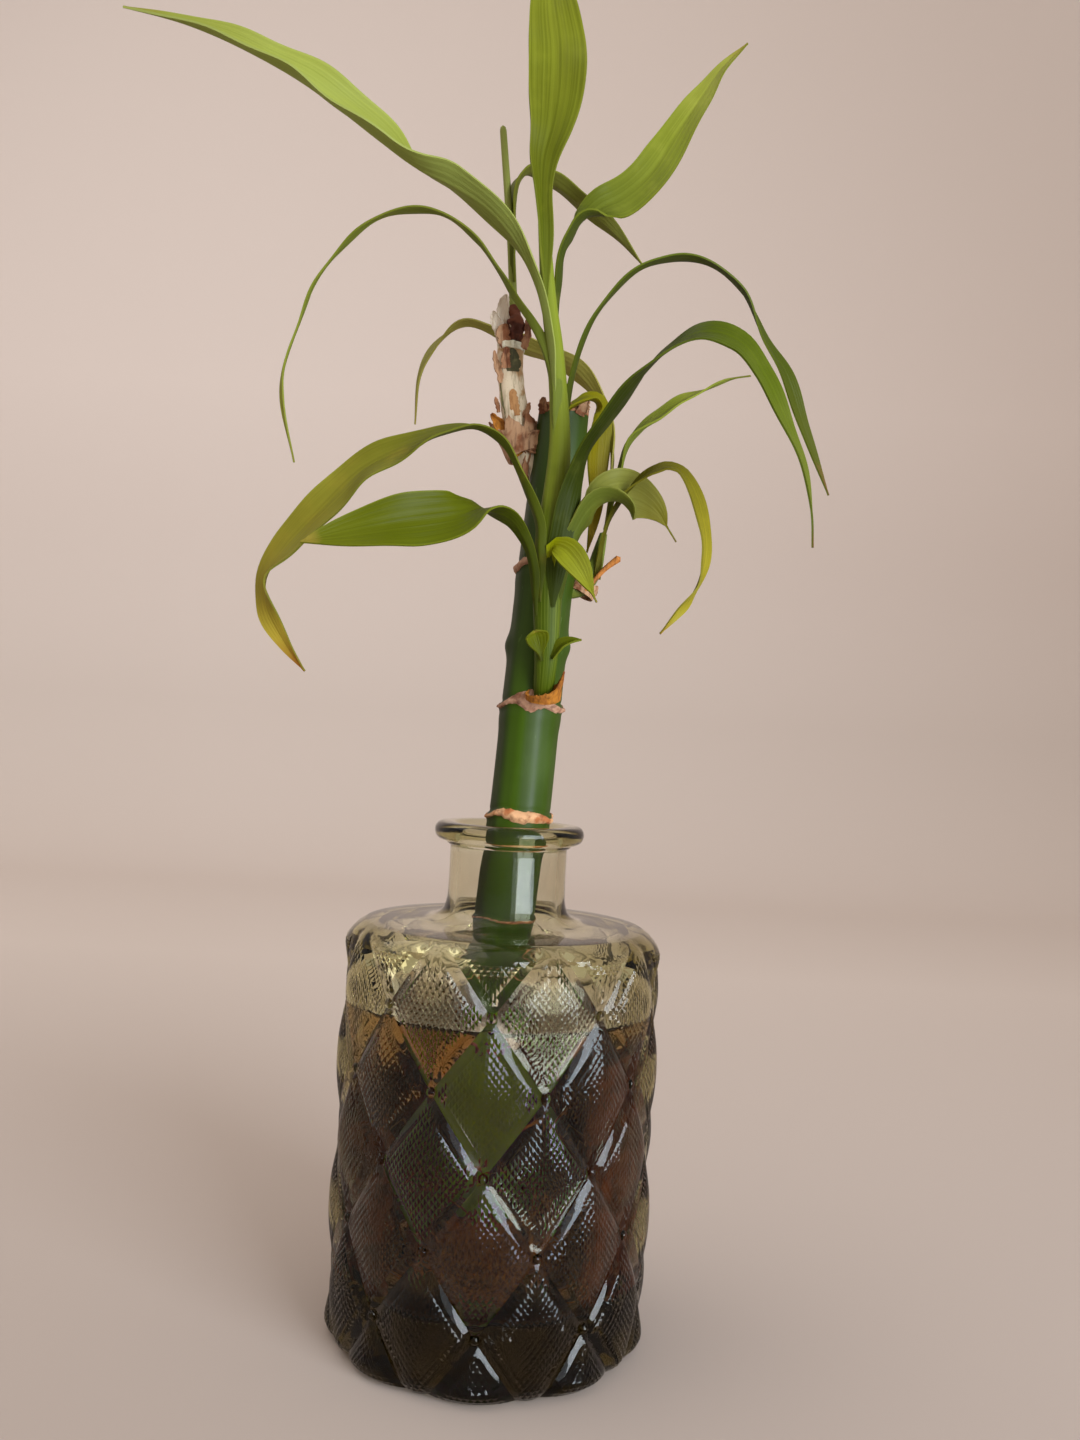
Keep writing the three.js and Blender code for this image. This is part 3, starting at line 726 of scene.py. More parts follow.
@dataclass(frozen=True)
class CaneFinish:
    """The green rind of the cane, with a light stripe, thin tan rings and a dried cut top.

    Its left side and back are darkened with painted shade, and the part under water is brightened
    with painted light.
    """

    name: str = "cane_rind"
    # Painted shade: the colour of the rind's left side and back, also used for its darker streaks.
    painted_shade_and_streaks: Rgb = (34, 48, 4)
    green: Rgb = (44, 63, 4)
    stripe: Rgb = (52, 76, 0)
    bloom: Rgb = (76, 96, 44)
    # Painted light: a brighter green for the rind below the water line.
    painted_light_under_water: Rgb = (126, 184, 0)
    scar: Rgb = (166, 116, 80)
    scar_dark: Rgb = (98, 56, 34)
    water_line: tuple[float, float] = (0.0722, 0.0704)
    moist_line: tuple[float, float] = (0.112, 0.108)

    def material(self) -> Material:
        """Makes the material from the mesh's own scar numbers and its UV map.

        Returns:
            The material.
        """
        shader = Shader(self.name)
        around, _, _ = shader.axes("UV")
        height = shader.axes("Object")[2]
        streaks = shader.noise("UV", 1.0, 3.0, (22.0, 1.5, 1.0))
        fibres = shader.noise("UV", 1.0, 3.0, (130.0, 16.0, 1.0))
        cloud = shader.noise("Object", 70.0, 4.0)
        scratches = shader.noise("Object", 1.0, 1.0, (900.0, 900.0, 260.0))
        torn = shader.noise("Object", 900.0, 4.0)
        scar = shader.attribute("scar")
        # Painted shade and light: the left side and the back get the darker colour, the front and
        # the right the lighter one.
        painted_lit_side, stripe = (
            shader.calc("MULTIPLY", shader.between(around, *rise), shader.between(around, *fall))
            for rise, fall in (((0.56, 0.7), (1.06, 0.98)), ((0.6, 0.67), (0.765, 0.715))))
        colour = shader.mix(painted_lit_side, self.painted_shade_and_streaks, self.green)
        colour = shader.mix(shader.calc("MULTIPLY", stripe, 0.75), colour, self.stripe)
        colour = shader.lay(colour, self.painted_shade_and_streaks, streaks, 0.45, 0.72, 0.35)
        colour = shader.lay(colour, self.bloom, cloud, 0.5, 0.75, 0.2)
        colour = shader.lay(colour, self.bloom, scratches, 0.74, 0.78, 0.5)
        # Painted light: the rind below the water line is brightened.
        colour = shader.lay(colour, shader.mix(0.3, self.painted_light_under_water, colour), height, *self.water_line)
        mask = shader.between(shader.calc("MULTIPLY_ADD", torn, 0.5, scar), 0.6, 0.75)
        brown = shader.lay(self.scar, self.scar_dark, torn, 0.42, 0.6)
        colour = shader.mix(mask, colour, brown)
        relief = shader.bump(shader.calc("MULTIPLY", torn, scar), 0.7, 0.35,
                             shader.bump(fibres, 0.25, 0.05))
        gloss = shader.calc("MULTIPLY_ADD", cloud, 0.2, 0.34)
        gloss = shader.calc("MULTIPLY_ADD", mask, 0.3, gloss)
        moist = shader.between(height, *self.moist_line)
        gloss = shader.calc("MULTIPLY_ADD", moist, 0.22, gloss)
        return shader.skin(colour, gloss, 0.2, relief)


# The bottle and its water


@dataclass
class Bottle:
    """The quilted bottle, with knurled pillows, a button at each crossing, a neck and a lip.

    Its lines are radius and height pairs. The heights of shoulder_line and bore_line are over
    the shoulder, those of lip_line over the lip's top and those of floor_line over the floor.
    The neck ends and the bore starts a little below the lip's top, and the bore ends below the
    shoulder.
    """

    body_radius: float = 32.9
    heel_radius: float = 4.0
    heel_tuck: float = 0.8
    shoulder_z: float = 88.9
    shoulder_corner: float = 3.6
    corner_drop: float = 0.12
    neck_radius: float = 12.9
    lip_z: float = 110.6
    floor_z: float = 12.8
    middle_z: float = 45.0
    inner_radius: float = 31.0
    mouth_radius: float = 11.0
    diamonds_around: int = 9
    diamond_half_height: float = 15.5
    top_crossing_z: float = 74.9
    quilt_turn: float = math.radians(-1.5)
    rim_cells: int = 3
    rim_rise: float = 0.82
    rim_step: float = 0.14
    crown_rise: float = 1.3
    crown_roundness: float = 2.6
    knurls_per_side: int = 18
    knurl_rise: float = 0.15
    button_rise: float = 0.85
    button_radius: float = 0.95
    underside: Pairs = ((0, 0.9), (8, 0.9), (16, 0.9), (22, 0.85), (25.4, 0.6), (27, 0.15), (28, 0))
    shoulder_line: Pairs = ((27.2, 0.12), (24, 0.2), (19.5, 0.3), (16.4, 0.75), (14.2, 2),
                            (13.15, 4.4), (12.9, 8))
    lip_line: Pairs = ((12.98, -5.1), (13.65, -4.75), (13.75, -4.35), (15, -4), (16.1, -3.3),
                       (16.5, -2.1), (16.35, -1), (15.6, -0.2), (14.2, 0), (12.5, -0.12),
                       (11.9, -0.55), (11.15, -1.6), (11, -3.2))
    bore_line: Pairs = ((11, 6), (11.3, 3), (12.3, 0.4), (14.6, -1.2), (18, -1.9), (23, -2.4),
                        (27.4, -3.6), (30, -6.6), (31, -12))
    floor_line: Pairs = ((31, 8), (30.3, 3.6), (28, 1.2), (24, 0.25), (14, 0), (0, 0))
    neck_end: float = 5.4
    bore_start: float = 4.0
    bore_end: float = 14.0
    foot_fade: float = 2.5
    shoulder_fade: float = 5.5
    neck_rows: int = 26
    lip_rows: int = 34
    bore_rows: int = 30
    floor_rows: int = 34
    finish: ClearFinish = ClearFinish("smoky_bottle_glass", 1.5, 0.02, (59.0, 66.0, 126.0), True,
                                      0.42)

    def __post_init__(self) -> None:
        """Works out the whole outline and which of its rows are quilted."""
        step = self.diamond_half_height / self.knurls_per_side
        self.lowest = -math.floor(self.top_crossing_z / step)
        highest = math.floor((self.shoulder_z - self.top_crossing_z) / step)
        wall = self.top_crossing_z + step * np.arange(self.lowest, highest + 1)
        corner = np.array(self.shoulder_z - self.corner_drop)
        neck = ((self.plain_radius(corner), corner - self.shoulder_z), *self.shoulder_line,
                (self.neck_radius, self.lip_z - self.neck_end - self.shoulder_z))
        bore = ((self.mouth_radius, self.lip_z - self.bore_start - self.shoulder_z),
                *self.bore_line)
        inside = ((self.inner_radius, self.shoulder_z - self.bore_end - self.floor_z),
                  (self.inner_radius, self.middle_z - self.floor_z), *self.floor_line)
        self.rings = np.vstack([
            self.underside,
            np.stack([self.plain_radius(wall), wall], 1),
            smooth_line(neck, self.neck_rows, self.shoulder_z),
            smooth_line(self.lip_line, self.lip_rows, self.lip_z),
            smooth_line(bore, self.bore_rows, self.shoulder_z),
            smooth_line(inside, self.floor_rows, self.floor_z),
        ])
        self.first = len(self.underside)
        self.last = self.first + len(wall) - 1
        self.columns = self.diamonds_around * 2 * self.knurls_per_side

    def plain_radius(self, height: np.ndarray) -> np.ndarray:
        """Gives the radius of the body's plain form, round at the heel and at the shoulder.

        Args:
            height: Heights over the ground.

        Returns:
            The radii.
        """
        low = np.clip(1.0 - height / self.heel_radius, 0.0, 1.0)
        heel = self.heel_radius * (1.0 - np.sqrt(1.0 - low**2)) * self.heel_tuck
        start = self.shoulder_z - self.shoulder_corner
        rise = np.clip((height - start) / self.shoulder_corner, 0.0, 1.0)
        return self.body_radius - heel - self.shoulder_corner * (1.0 - np.sqrt(1.0 - rise**2))

    @staticmethod
    def from_groove(place: np.ndarray) -> np.ndarray:
        """Gives 0 on a groove and 1 midway between two, for a place in diamonds."""
        return 1.0 - np.abs(2.0 * (place - np.floor(place)) - 1.0)

    def relief(self, turns: np.ndarray, drop: np.ndarray, knurl: np.ndarray) -> np.ndarray:
        """Gives the rise of the quilting: knurled pillows, smooth rims and buttons.

        Args:
            turns: The place round the bottle, in half diamonds.
            drop: The height over the top crossing, in half diamonds.
            knurl: 1 at the points of the knurls, 0 between them.

        Returns:
            The rise in millimetres, before it fades at the foot and the shoulder.
        """
        sides = [self.from_groove(place / 2.0) for place in (turns + drop, turns - drop)]
        cells = np.minimum(*sides) * self.knurls_per_side
        flat = self.rim_rise - self.rim_step
        rim = np.interp(cells, [0, self.rim_cells, self.rim_cells + 1, self.rim_cells + 2],
                        [0, self.rim_rise, flat, self.rim_rise - self.rim_step * 0.6])
        inner = self.rim_cells / self.knurls_per_side
        first, second = (
            1 - (1 - np.clip((side - inner) / (1 - inner), 0, 1)) ** self.crown_roundness
            for side in sides)
        knurled = cells > self.rim_cells + 1.5
        rise = rim + self.crown_rise * first * second + self.knurl_rise * knurl * knurled
        reach = self.crossing_reach(turns, drop)
        dome = np.sqrt(np.clip(1.0 - (reach / self.button_radius) ** 2, 0.0, 1.0))
        hollow = smoothstep(reach, self.button_radius * 0.9, self.button_radius * 2.2)
        return rise * hollow + self.button_rise * dome

    def crossing_reach(self, turns: np.ndarray, drop: np.ndarray) -> np.ndarray:
        """Gives the distance to the nearest crossing of the grooves.

        Args:
            turns: The place round the bottle, in half diamonds.
            drop: The height over the top crossing, in half diamonds.

        Returns:
            The distances, in millimetres.
        """
        places = (turns + drop) / 2, (turns - drop) / 2
        first, second = (place - np.round(place) for place in places)
        half_width = math.pi / self.diamonds_around * self.body_radius
        return np.hypot((first + second) * half_width, (first - second) * self.diamond_half_height)

    def lattice_place(self, across: np.ndarray, along: np.ndarray
                      ) -> tuple[np.ndarray, np.ndarray, np.ndarray]:
        """Gives the place on the quilting.

        Args:
            across: Shares across the flat grid.
            along: Shares along it.

        Returns:
            The places round and over the top crossing, in half diamonds, and the rows.
        """
        row = along * (len(self.rings) - 1)
        drop = (row - self.first + self.lowest) * (1.0 / self.knurls_per_side)
        return across * self.diamonds_around * 2, drop, row

    def split_grid(self, obj: Object) -> None:
        """Splits the flat grid along the grooves, and finer round each button.

        Args:
            obj: The grid.
        """
        row, column = np.divmod(np.arange(len(obj.data.polygons)), self.columns)
        self.pick_faces(obj, (column + row + self.lowest - self.first) % 2 == 0)
        bpy.ops.object.mode_set(mode="EDIT")
        bpy.ops.mesh.quads_convert_to_tris(quad_method="FIXED")
        bpy.ops.mesh.select_all(action="SELECT")
        bpy.ops.mesh.quads_convert_to_tris(quad_method="FIXED_ALTERNATE")
        bpy.ops.object.mode_set(mode="OBJECT")
        for _ in range(2):
            across, along, _ = np.array([face.center for face in obj.data.polygons]).T
            turns, drops, row = self.lattice_place(across + 0.5, along + 0.5)
            near = self.crossing_reach(turns, drops) < self.button_radius * 1.3
            self.pick_faces(obj, near & (row > self.first) & (row < self.last))
            bpy.ops.object.mode_set(mode="EDIT")
            bpy.ops.mesh.subdivide(number_cuts=1)
            bpy.ops.object.mode_set(mode="OBJECT")

    @staticmethod
    def pick_faces(obj: Object, flags: np.ndarray) -> None:
        """Selects just some faces, for the next step in edit mode.

        Args:
            obj: The mesh.
            flags: Whether each face is picked.
        """
        wake(obj)
        bpy.ops.object.mode_set(mode="EDIT")
        bpy.ops.mesh.select_mode(type="FACE")
        bpy.ops.mesh.select_all(action="DESELECT")
        bpy.ops.object.mode_set(mode="OBJECT")
        obj.data.polygons.foreach_set("select", flags)

    def form(self, across: np.ndarray, along: np.ndarray) -> np.ndarray:
        """Wraps the flat grid round the bottle.

        Args:
            across: Shares across the grid.
            along: Shares along it.

        Returns:
            The points, in millimetres.
        """
        turns, drop, row = self.lattice_place(across, along)
        radius, height = read_line(self.rings, row)
        angle = self.quilt_turn + turns * math.pi / self.diamonds_around
        column, level = turns * self.knurls_per_side, drop * self.knurls_per_side
        whole = [np.abs(place - np.round(place)) < 0.02 for place in (column, level)]
        odd = (np.round(column) + np.round(level)).astype(int) % 2 == 1
        knurl = (whole[0] & whole[1] & odd).astype(float)
        fade = smoothstep(height, -self.foot_fade, self.foot_fade)
        faded = self.shoulder_z - self.shoulder_fade
        fade = fade * (1 - smoothstep(height, faded, self.shoulder_z))
        quilted = (row >= self.first - 0.01) & (row <= self.last + 0.01)
        radius = radius + np.where(quilted, self.relief(turns, drop, knurl) * fade, 0.0)
        inside = (row > self.last + self.neck_rows + self.lip_rows + 2) & (radius > 2)
        inside &= height < self.shoulder_z - 6
        sway = 0.09 * np.sin(angle * 3 + height * 0.11) + 0.05 * np.sin(angle * 7 - height * 0.19)
        return spin(radius + np.where(inside, sway, 0.0), angle, height)

    def build(self) -> None:
        """Builds and dresses the bottle."""
        grid = lay_grid("bottle_glass", self.columns, len(self.rings) - 1)
        self.split_grid(grid)
        obj = complete(grid, self.form, self.finish.material(), reach=WELD_REACH, crisp=22.0)
        seat(obj, Slot.GLASS, "glass_bottle")


@dataclass
class Water:
    """The water, which wets the glass and climbs a little at its edge."""

    bottle: Bottle
    level: float = 71.0
    wets: float = 0.15
    segments: int = 128
    floor_line: Pairs = ((0, 0), (14, 0), (24, 0.25), (28.1, 1.2), (30.45, 3.6))
    surface_line: Pairs = ((30.6, 0.75), (29.9, 0.3), (28.6, 0.06), (24, 0), (14, 0), (0, 0))
    floor_rows: int = 40
    surface_rows: int = 36
    finish: ClearFinish = ClearFinish("stale_water", 1.333, 0.0, (16.0, 28.0, 54.0))

    def __post_init__(self) -> None:
        """Works out the outline."""
        wall = self.bottle.inner_radius + self.wets
        floor = self.bottle.floor_z - self.wets
        low = (*self.floor_line, (wall, 8), (wall, self.bottle.middle_z - floor),
               (wall, self.level - 4 - floor))
        surface = ((wall, -3), (wall, 1.1), *self.surface_line)
        self.rings = np.vstack([smooth_line(low, self.floor_rows, floor),
                                smooth_line(surface, self.surface_rows, self.level)])

    def form(self, across: np.ndarray, along: np.ndarray) -> np.ndarray:
        """Wraps the flat grid round the water."""
        radius, height = read_line(self.rings, along * (len(self.rings) - 1))
        return spin(radius, across * 2 * math.pi, height)

    def build(self) -> None:
        """Builds and dresses the water."""
        grid = lay_grid("bottle_water", self.segments, len(self.rings) - 1)
        obj = complete(grid, self.form, self.finish.material(), reach=WELD_REACH, crisp=50.0)
        seat(obj, Slot.WATER, "water")


# The cane and its roots


@dataclass
class Cane:
    """The thick cane, with a raised ring at each joint, two sleeping buds and a cut top.

    Each of ring_waves is a ridge, groove or swelling at a ring: its rise, how far below the
    ring it lies and its half width.
    """

    axis: tuple[Point, ...] = (
        (-2.8, -1, 13.1), (-1.5, 0.6, 60), (0.4, 2.2, 98), (1.8, 2.9, 111), (3.2, 4, 137),
        (4.9, 5.4, 168), (7.2, 7, 205),
    )
    radii: Pairs = ((13, 6.6), (98, 6.8), (112, 6.8), (137, 6.7), (168, 6.4), (205, 5.7))
    rings: tuple[float, ...] = (36, 62, 88, 112.3, 137, 168.5)
    ring_waves: tuple[Point, ...] = ((0.5, 0, 0.75), (-0.22, -1.25, 0.5), (0.28, 2.2, 2.6))
    bud_z: float = 150.5
    bud_rise: float = 0.85
    bud_height: float = 2.4
    foot_z: float = 13.1
    top_z: float = 205.0
    sides: int = 72
    rows: int = 400
    rim_share: float = 0.03
    foot_share: float = 1 / 300

    @cached_property
    def line(self) -> Route:
        """The line of its middle."""
        return Route(self.axis)

    @staticmethod
    def ring_height(ring: float, angle: np.ndarray) -> np.ndarray:
        """Gives the wandering height of a ring round the cane."""
        return ring + 0.5 * np.sin(angle * 2 + ring) + 0.3 * np.sin(angle * 5)

    def radius_at(self, angle: np.ndarray, height: np.ndarray) -> np.ndarray:
        """Gives the radius of the rind.

        Args:
            angle: Angles round the middle.
            height: Heights over the ground.

        Returns:
            The radii.
        """
        radius = np.interp(height, *zip(*self.radii))
        for ring in self.rings:
            off = height - self.ring_height(ring, angle)
            for rise, below, width in self.ring_waves:
                radius = radius + rise * np.exp(-(((off + below) / width) ** 2))
        off = (height - self.bud_z) / self.bud_height
        bud = np.abs(np.cos(angle)) ** 10 * np.exp(-(off**2))
        ribs = 0.07 * np.sin(angle * 3 + height * 0.05) + 0.05 * np.sin(angle * 11 + height * 0.02)
        return radius + self.bud_rise * bud + ribs

    def place(self, angle: np.ndarray, height: np.ndarray) -> np.ndarray:
        """Gives points on the rind from angles and heights."""
        x, y = self.line.at_height(height).T
        radius = self.radius_at(angle, height)
        return stack(x + radius * np.cos(angle), y + radius * np.sin(angle), height)

    def form(self, across: np.ndarray, along: np.ndarray) -> np.ndarray:
        """Wraps the flat grid round the cane, over its rim and into the cut.

        Args:
            across: Shares across the grid.
            along: Shares along it.

        Returns:
            The points, in millimetres.
        """
        angle = across * 2 * math.pi
        share = np.clip(along / (1 - self.rim_share), 0, 1)
        height = self.foot_z + share * (self.top_z - self.foot_z)
        points = self.place(angle, height)
        centre = self.line.at_height(height)
        rim = np.clip((along - (1 - self.rim_share)) / self.rim_share, 0, 1)
        foot = np.clip(1 - along / self.foot_share, 0, 1)
        keep = np.sqrt(np.clip(1 - rim**2.2, 0, 1)) * np.sqrt(1 - foot**2)
        points[:, :2] = centre + (points[:, :2] - centre) * keep[:, None]
        wave = 0.35 * np.sin(angle * 3 + 1) + 0.2 * np.sin(angle * 7)
        points[:, 2] += wave * smoothstep(height, self.top_z - 4, self.top_z) * (rim < 1)
        dip = 1.3 * smoothstep(rim, 0.12, 0.6)
        points[:, 2] += 0.5 * np.sin(np.clip(rim * 3, 0, 1) * math.pi) - dip
        return points

    def scars(self, obj: Object) -> np.ndarray:
        """Gives how scarred each point is, at the rings and at the cut top.

        Args:
            obj: The cane's mesh.

        Returns:
            A number from 0 to 1 for each point.
        """
        x, y, height = read_points(obj).T / MM
        middle_x, middle_y = self.line.at_height(height).T
        angle = np.arctan2(y - middle_y, x - middle_x)
        scar = smoothstep(height, self.top_z - 2.2, self.top_z - 0.6)
        for index, ring in enumerate(self.rings):
            off = height - self.ring_height(ring, angle)
            spread = 0.55 + 0.35 * np.sin(angle + index) + 0.25 * np.sin(angle * 4 + ring)
            width = 0.25 + 0.25 * np.clip(spread, 0, 1)
            scar = np.maximum(scar, np.exp(-((off / width) ** 2)))
        return scar

    def build(self) -> None:
        """Builds and dresses the cane."""
        grid = lay_grid("cane_culm", self.sides, self.rows)
        obj = complete(grid, self.form, CaneFinish().material(), reach=WELD_REACH, crisp=50.0)
        kept = obj.data.attributes.new("scar", "FLOAT", "POINT")
        kept.data.foreach_set("value", self.scars(obj).astype(np.float32))
        seat(obj, Slot.CANE, "cane")


@dataclass(frozen=True)
class Tube:
    """A closed stem along a line, by its half widths sideways and deep at even steps.

    Spacing is the length of a face. Laps is the rise of the overlapping margins that wind along
    it and lumps the size of its rough lumps, as shares of the width. Tip is the share of the
    length that rounds off at each end.
    """

    route: Sequence[Point]
    half_widths: Pairs
    sides: int = 28
    spacing: float = 0.6
    laps: float = 0.0
    lumps: float = 0.0
    tip: float = 0.03

    @cached_property
    def line(self) -> Route:
        """The line of its middle."""
        return Route(self.route)

    def form(self, across: np.ndarray, along: np.ndarray) -> np.ndarray:
        """Wraps the flat grid round the line.

        Args:
            across: Shares across the grid.
            along: Shares along it.

        Returns:
            The points, in millimetres.
        """
        centre, ahead = self.line.at(along)
        sideways = unit(np.cross(ahead, FRONT))
        outward = np.cross(sideways, ahead)
        angle = across * 2 * math.pi
        ends = np.clip(np.minimum(along, 1 - along) / self.tip, 0, 1)
        rounding = np.sqrt(1 - (1 - ends) ** 2)
        lap = 1 + self.laps * ((across * 2 + along * 0.7) % 1.0)
        wide, deep = (run_through(widths, along) for widths in zip(*self.half_widths))
        x = wide * np.cos(angle) * rounding * lap
        y = deep * np.sin(angle) * rounding * lap
        offset = sideways * x[:, None] - outward * y[:, None]
        if self.lumps > 0.0:
            offset = offset * (1 + self.lumps * rough(centre + offset, 0.62, 4.0))[:, None]
        return centre + offset

    def build(self, name: str, material: Material, crisp: float = 0.0) -> Object:
        """Makes the stem, with a UV map that runs round and along it.

        Args:
            name: The object's name.
            material: Its finish.
            crisp: Edges sharper than this, in degrees, stay crisp; at 0 the shading is left.

        Returns:
            The object.
        """
        grid = lay_grid(name, self.sides, max(8, round(self.line.length / self.spacing)))
        return complete(grid, self.form, material, reach=WELD_REACH, crisp=crisp)


@dataclass(frozen=True)
class Mat:
    """A dense mat of roots, bent round the cane, which also serves as a dark lining of painted
    shade: where it lies, in degrees and millimetres.
    """

    ends: tuple[float, float]
    heights: tuple[float, float]
    radius: float
    depth: float
    ragged: float
    low_side: float = 0.0
    strand_width: float = 2.3
    wall: float = 30.82
    lowest: float = 14.0
    highest: float = 68.5
    sway_radius: float = 26.0
    sway_height: float = 20.0
    columns: int = 330
    rows: int = 84

    def form(self, across: np.ndarray, along: np.ndarray) -> np.ndarray:
        """Wraps the flat grid into the mat of hanging strands.

        Args:
            across: Shares across the grid.
            along: Shares along it.

        Returns:
            The points, in millimetres.
        """
        (first, last), (low, high) = self.ends, self.heights
        turn = np.radians(first + (last - first) * across)
        loop = along * math.tau
        side, level = signed_power(np.cos(loop), 0.35), signed_power(np.sin(loop), 0.8)
        upper = np.clip(level, 0.0, 1.0)
        taper = np.sqrt(np.clip(1 - (2 * across - 1) ** 10, 0.0, 1.0))
        sway = stack(np.cos(turn) * self.sway_radius, np.sin(turn) * self.sway_radius,
                     level * self.sway_height)
        drift = rough(sway, 0.07, 1.0)
        ragged = self.ragged * rough(sway * [1, 1, 0], 0.16, 6.0) * upper
        sunk = self.low_side * smoothstep(np.degrees(turn), 88.0, 98.0) * upper
        height = (low + high) / 2 + level * (high - low) / 2 * (0.9 + 0.1 * taper) + ragged - sunk
        place = turn * self.radius / self.strand_width + 2.6 * drift
        lumps = 1.3 * rough(sway, 0.11, 3.0) + 0.5 * rough(sway, 0.4, 8.0)
        thick = self.depth + 0.8 * np.abs(np.sin(math.pi * place)) + lumps
        reach = np.minimum(self.radius + side * taper * thick, self.wall)
        return stack(reach * np.cos(turn), reach * np.sin(turn),
                     np.clip(height, self.lowest, self.highest))

    def build(self, material: Material) -> Object:
        """Makes the mat in its finish."""
        grid = lay_grid("root", self.columns, self.rows)
        return complete(grid, self.form, material, reach=10 * WELD_REACH)


@dataclass
class Roots:
    """The crown of roots at the cane's foot, the mat along the glass, which is partly roots and
    partly a dark sheet of painted shade, and the fine rootlets.
    """

    crown_z: float = 16.0
    crown_radius: float = 8.6
    crown_widths: Pairs = ((1.5, 2.0), (1.2, 2.3), (1.6, 1.9), (1.5, 2.0))
    count: int = 10
    taper: tuple[float, ...] = (1.0, 0.8, 0.55, 0.3)
    reaches: tuple[float, ...] = (6.5, 12, 18, 23, 26)
    rootlets: int = 130
    rootlet_steps: int = 7
    rootlet_start: float = 6.0
    rootlet_reach: tuple[float, float] = (13.0, 28.6)
    rootlet_width: tuple[float, float] = (0.2, 0.5)
    lowest: float = 14.4
    highest: float = 66.0
    seed: int = 7
    # Painted shade: the lining round the back of the water is partly a mat of roots and partly a
    # dark sheet that darkens the bottle.
    lining: Mat = Mat((-48.0, 228.0), (14.6, 66.0), 28.3, 2.4, 5.5, low_side=15.0)
    ball: Mat = Mat((-270.0, 90.0), (14.4, 27.5), 9.6, 1.6, 4.0)
    finish: DryFinish = DryFinish("orange_roots", (124, 72, 22), (92, 48, 14), (48, 26, 8), 0.45,
                                  (120.0, 120.0, 120.0), shine=0.05)
    lining_and_shade_finish: DryFinish = DryFinish("root_mat_and_painted_shade", (86, 38, 12), (62, 26, 8), (28, 11, 4), 0.5,
                                      (150.0, 150.0, 30.0), shine=0.0)

    def main_route(self, index: int) -> list[Point]:
        """Gives the line of one of the thick roots.

        Args:
            index: Which of them.

        Returns:
            Points of the line, in millimetres.
        """
        angle = (index / self.count) * math.tau + 0.3 * math.sin(index * 5)
        swing = 0.5 * math.sin(index * 3.1)
        climb = 4 + 24 * (0.5 + 0.5 * math.sin(index * 2.3 + 1))
        heights = (0, -0.6, 0.4, 0.45 * climb, climb)
        route = []
        for step, (radius, rise) in enumerate(zip(self.reaches, heights)):
            turn = angle + swing * (step / 4) ** 2
            y = radius * math.sin(turn) - 1 + step / 4
            route.append((radius * math.cos(turn), y, self.crown_z + 2 + rise))
        return route

    def rootlet_route(self, rng: np.random.Generator) -> list[Point]:
        """Gives the line of a thin root that wanders from the crown through the water.

        Args:
            rng: The random numbers.

        Returns:
            Points of the line, in millimetres.
        """
        turn = rng.uniform(0, math.tau)
        height = self.crown_z + rng.uniform(0, 3)
        behind = 0.5 + 0.5 * math.sin(turn)
        climb = rng.uniform(0, 10 + 44 * behind)
        reach = rng.uniform(*self.rootlet_reach)
        route = []
        drift = rng.normal(0, 0.22)
        for step in range(self.rootlet_steps):
            share = step / (self.rootlet_steps - 1)
            radius = self.rootlet_start + (reach - self.rootlet_start) * share**0.8
            angle = turn + drift * step + rng.normal(0, 0.06)
            rise = climb * share**1.6 + rng.normal(0, 0.7) * share
            z = min(max(height + rise, self.lowest), self.highest)
            route.append((radius * math.cos(angle), radius * math.sin(angle) - 1 + share, z))
        return route

    def crown_route(self) -> list[Point]:
        """Gives the closed line of the crown."""
        return [(self.crown_radius * math.cos(a), self.crown_radius * math.sin(a) - 1,
                 self.crown_z + 1.5 + 0.5 * math.sin(3 * a)) for a in np.linspace(0, math.tau, 13)]

    def build(self) -> None:
        """Builds and dresses the roots."""
        rng = np.random.default_rng(self.seed)
        material = self.finish.material()
        taper = [(width, width) for width in self.taper]
        tubes = [Tube(self.main_route(index), taper, sides=10, spacing=1.0)
                 for index in range(self.count)]
        for _ in range(self.rootlets):
            thick = rng.uniform(*self.rootlet_width)
            widths = [(width, width) for width in (thick, thick * 0.8, 0.1)]
            tubes.append(Tube(self.rootlet_route(rng), widths, sides=5, spacing=1.5))
        tubes.append(Tube(self.crown_route(), self.crown_widths, sides=12, spacing=1.0))
        pieces = [tube.build("root", material) for tube in tubes]
        mats = [self.lining.build(self.lining_and_shade_finish.material()), self.ball.build(material)]
        obj = join("bottle_roots", [*pieces, *mats])
        smooth(obj, 60.0)
        seat(obj, Slot.ROOT, "roots")


# Leaves


GREEN_LEAF = LeafFinish("green_leaf", (46, 56, 4), (76, 84, 2), (84, 92, 4), (98, 104, 12),
                        (56, 66, 8))
DARK_LEAF = LeafFinish("dark_leaf", (66, 80, 4), (38, 47, 2), (78, 90, 10), (98, 104, 36),
                       (34, 42, 2), (128, 76, 52), margin=(98, 110, 24), light_through=0.14)
OUTER_LEAF = LeafFinish("outer_leaf", (102, 114, 38), (66, 76, 12), (64, 74, 8), (78, 82, 22),
                        (60, 70, 12), (128, 76, 52), margin=(112, 124, 36), light_through=0.2)
BRIGHT_LEAF = LeafFinish("bright_leaf", (122, 132, 52), (106, 118, 34), (134, 142, 46),
                         (164, 164, 70), (116, 128, 50))
PALE_LEAF = LeafFinish("pale_leaf", (108, 118, 40), (130, 138, 52), (168, 176, 80), (152, 156, 66),
                       (148, 158, 84), margin=(178, 184, 104), light_through=0.38)
TONGUE_LEAF = LeafFinish("tongue_leaf", (54, 72, 18), (92, 104, 34), (158, 156, 74), (152, 140, 30),
                         (96, 108, 34), (120, 92, 62), margin=(176, 172, 90), light_through=0.5)
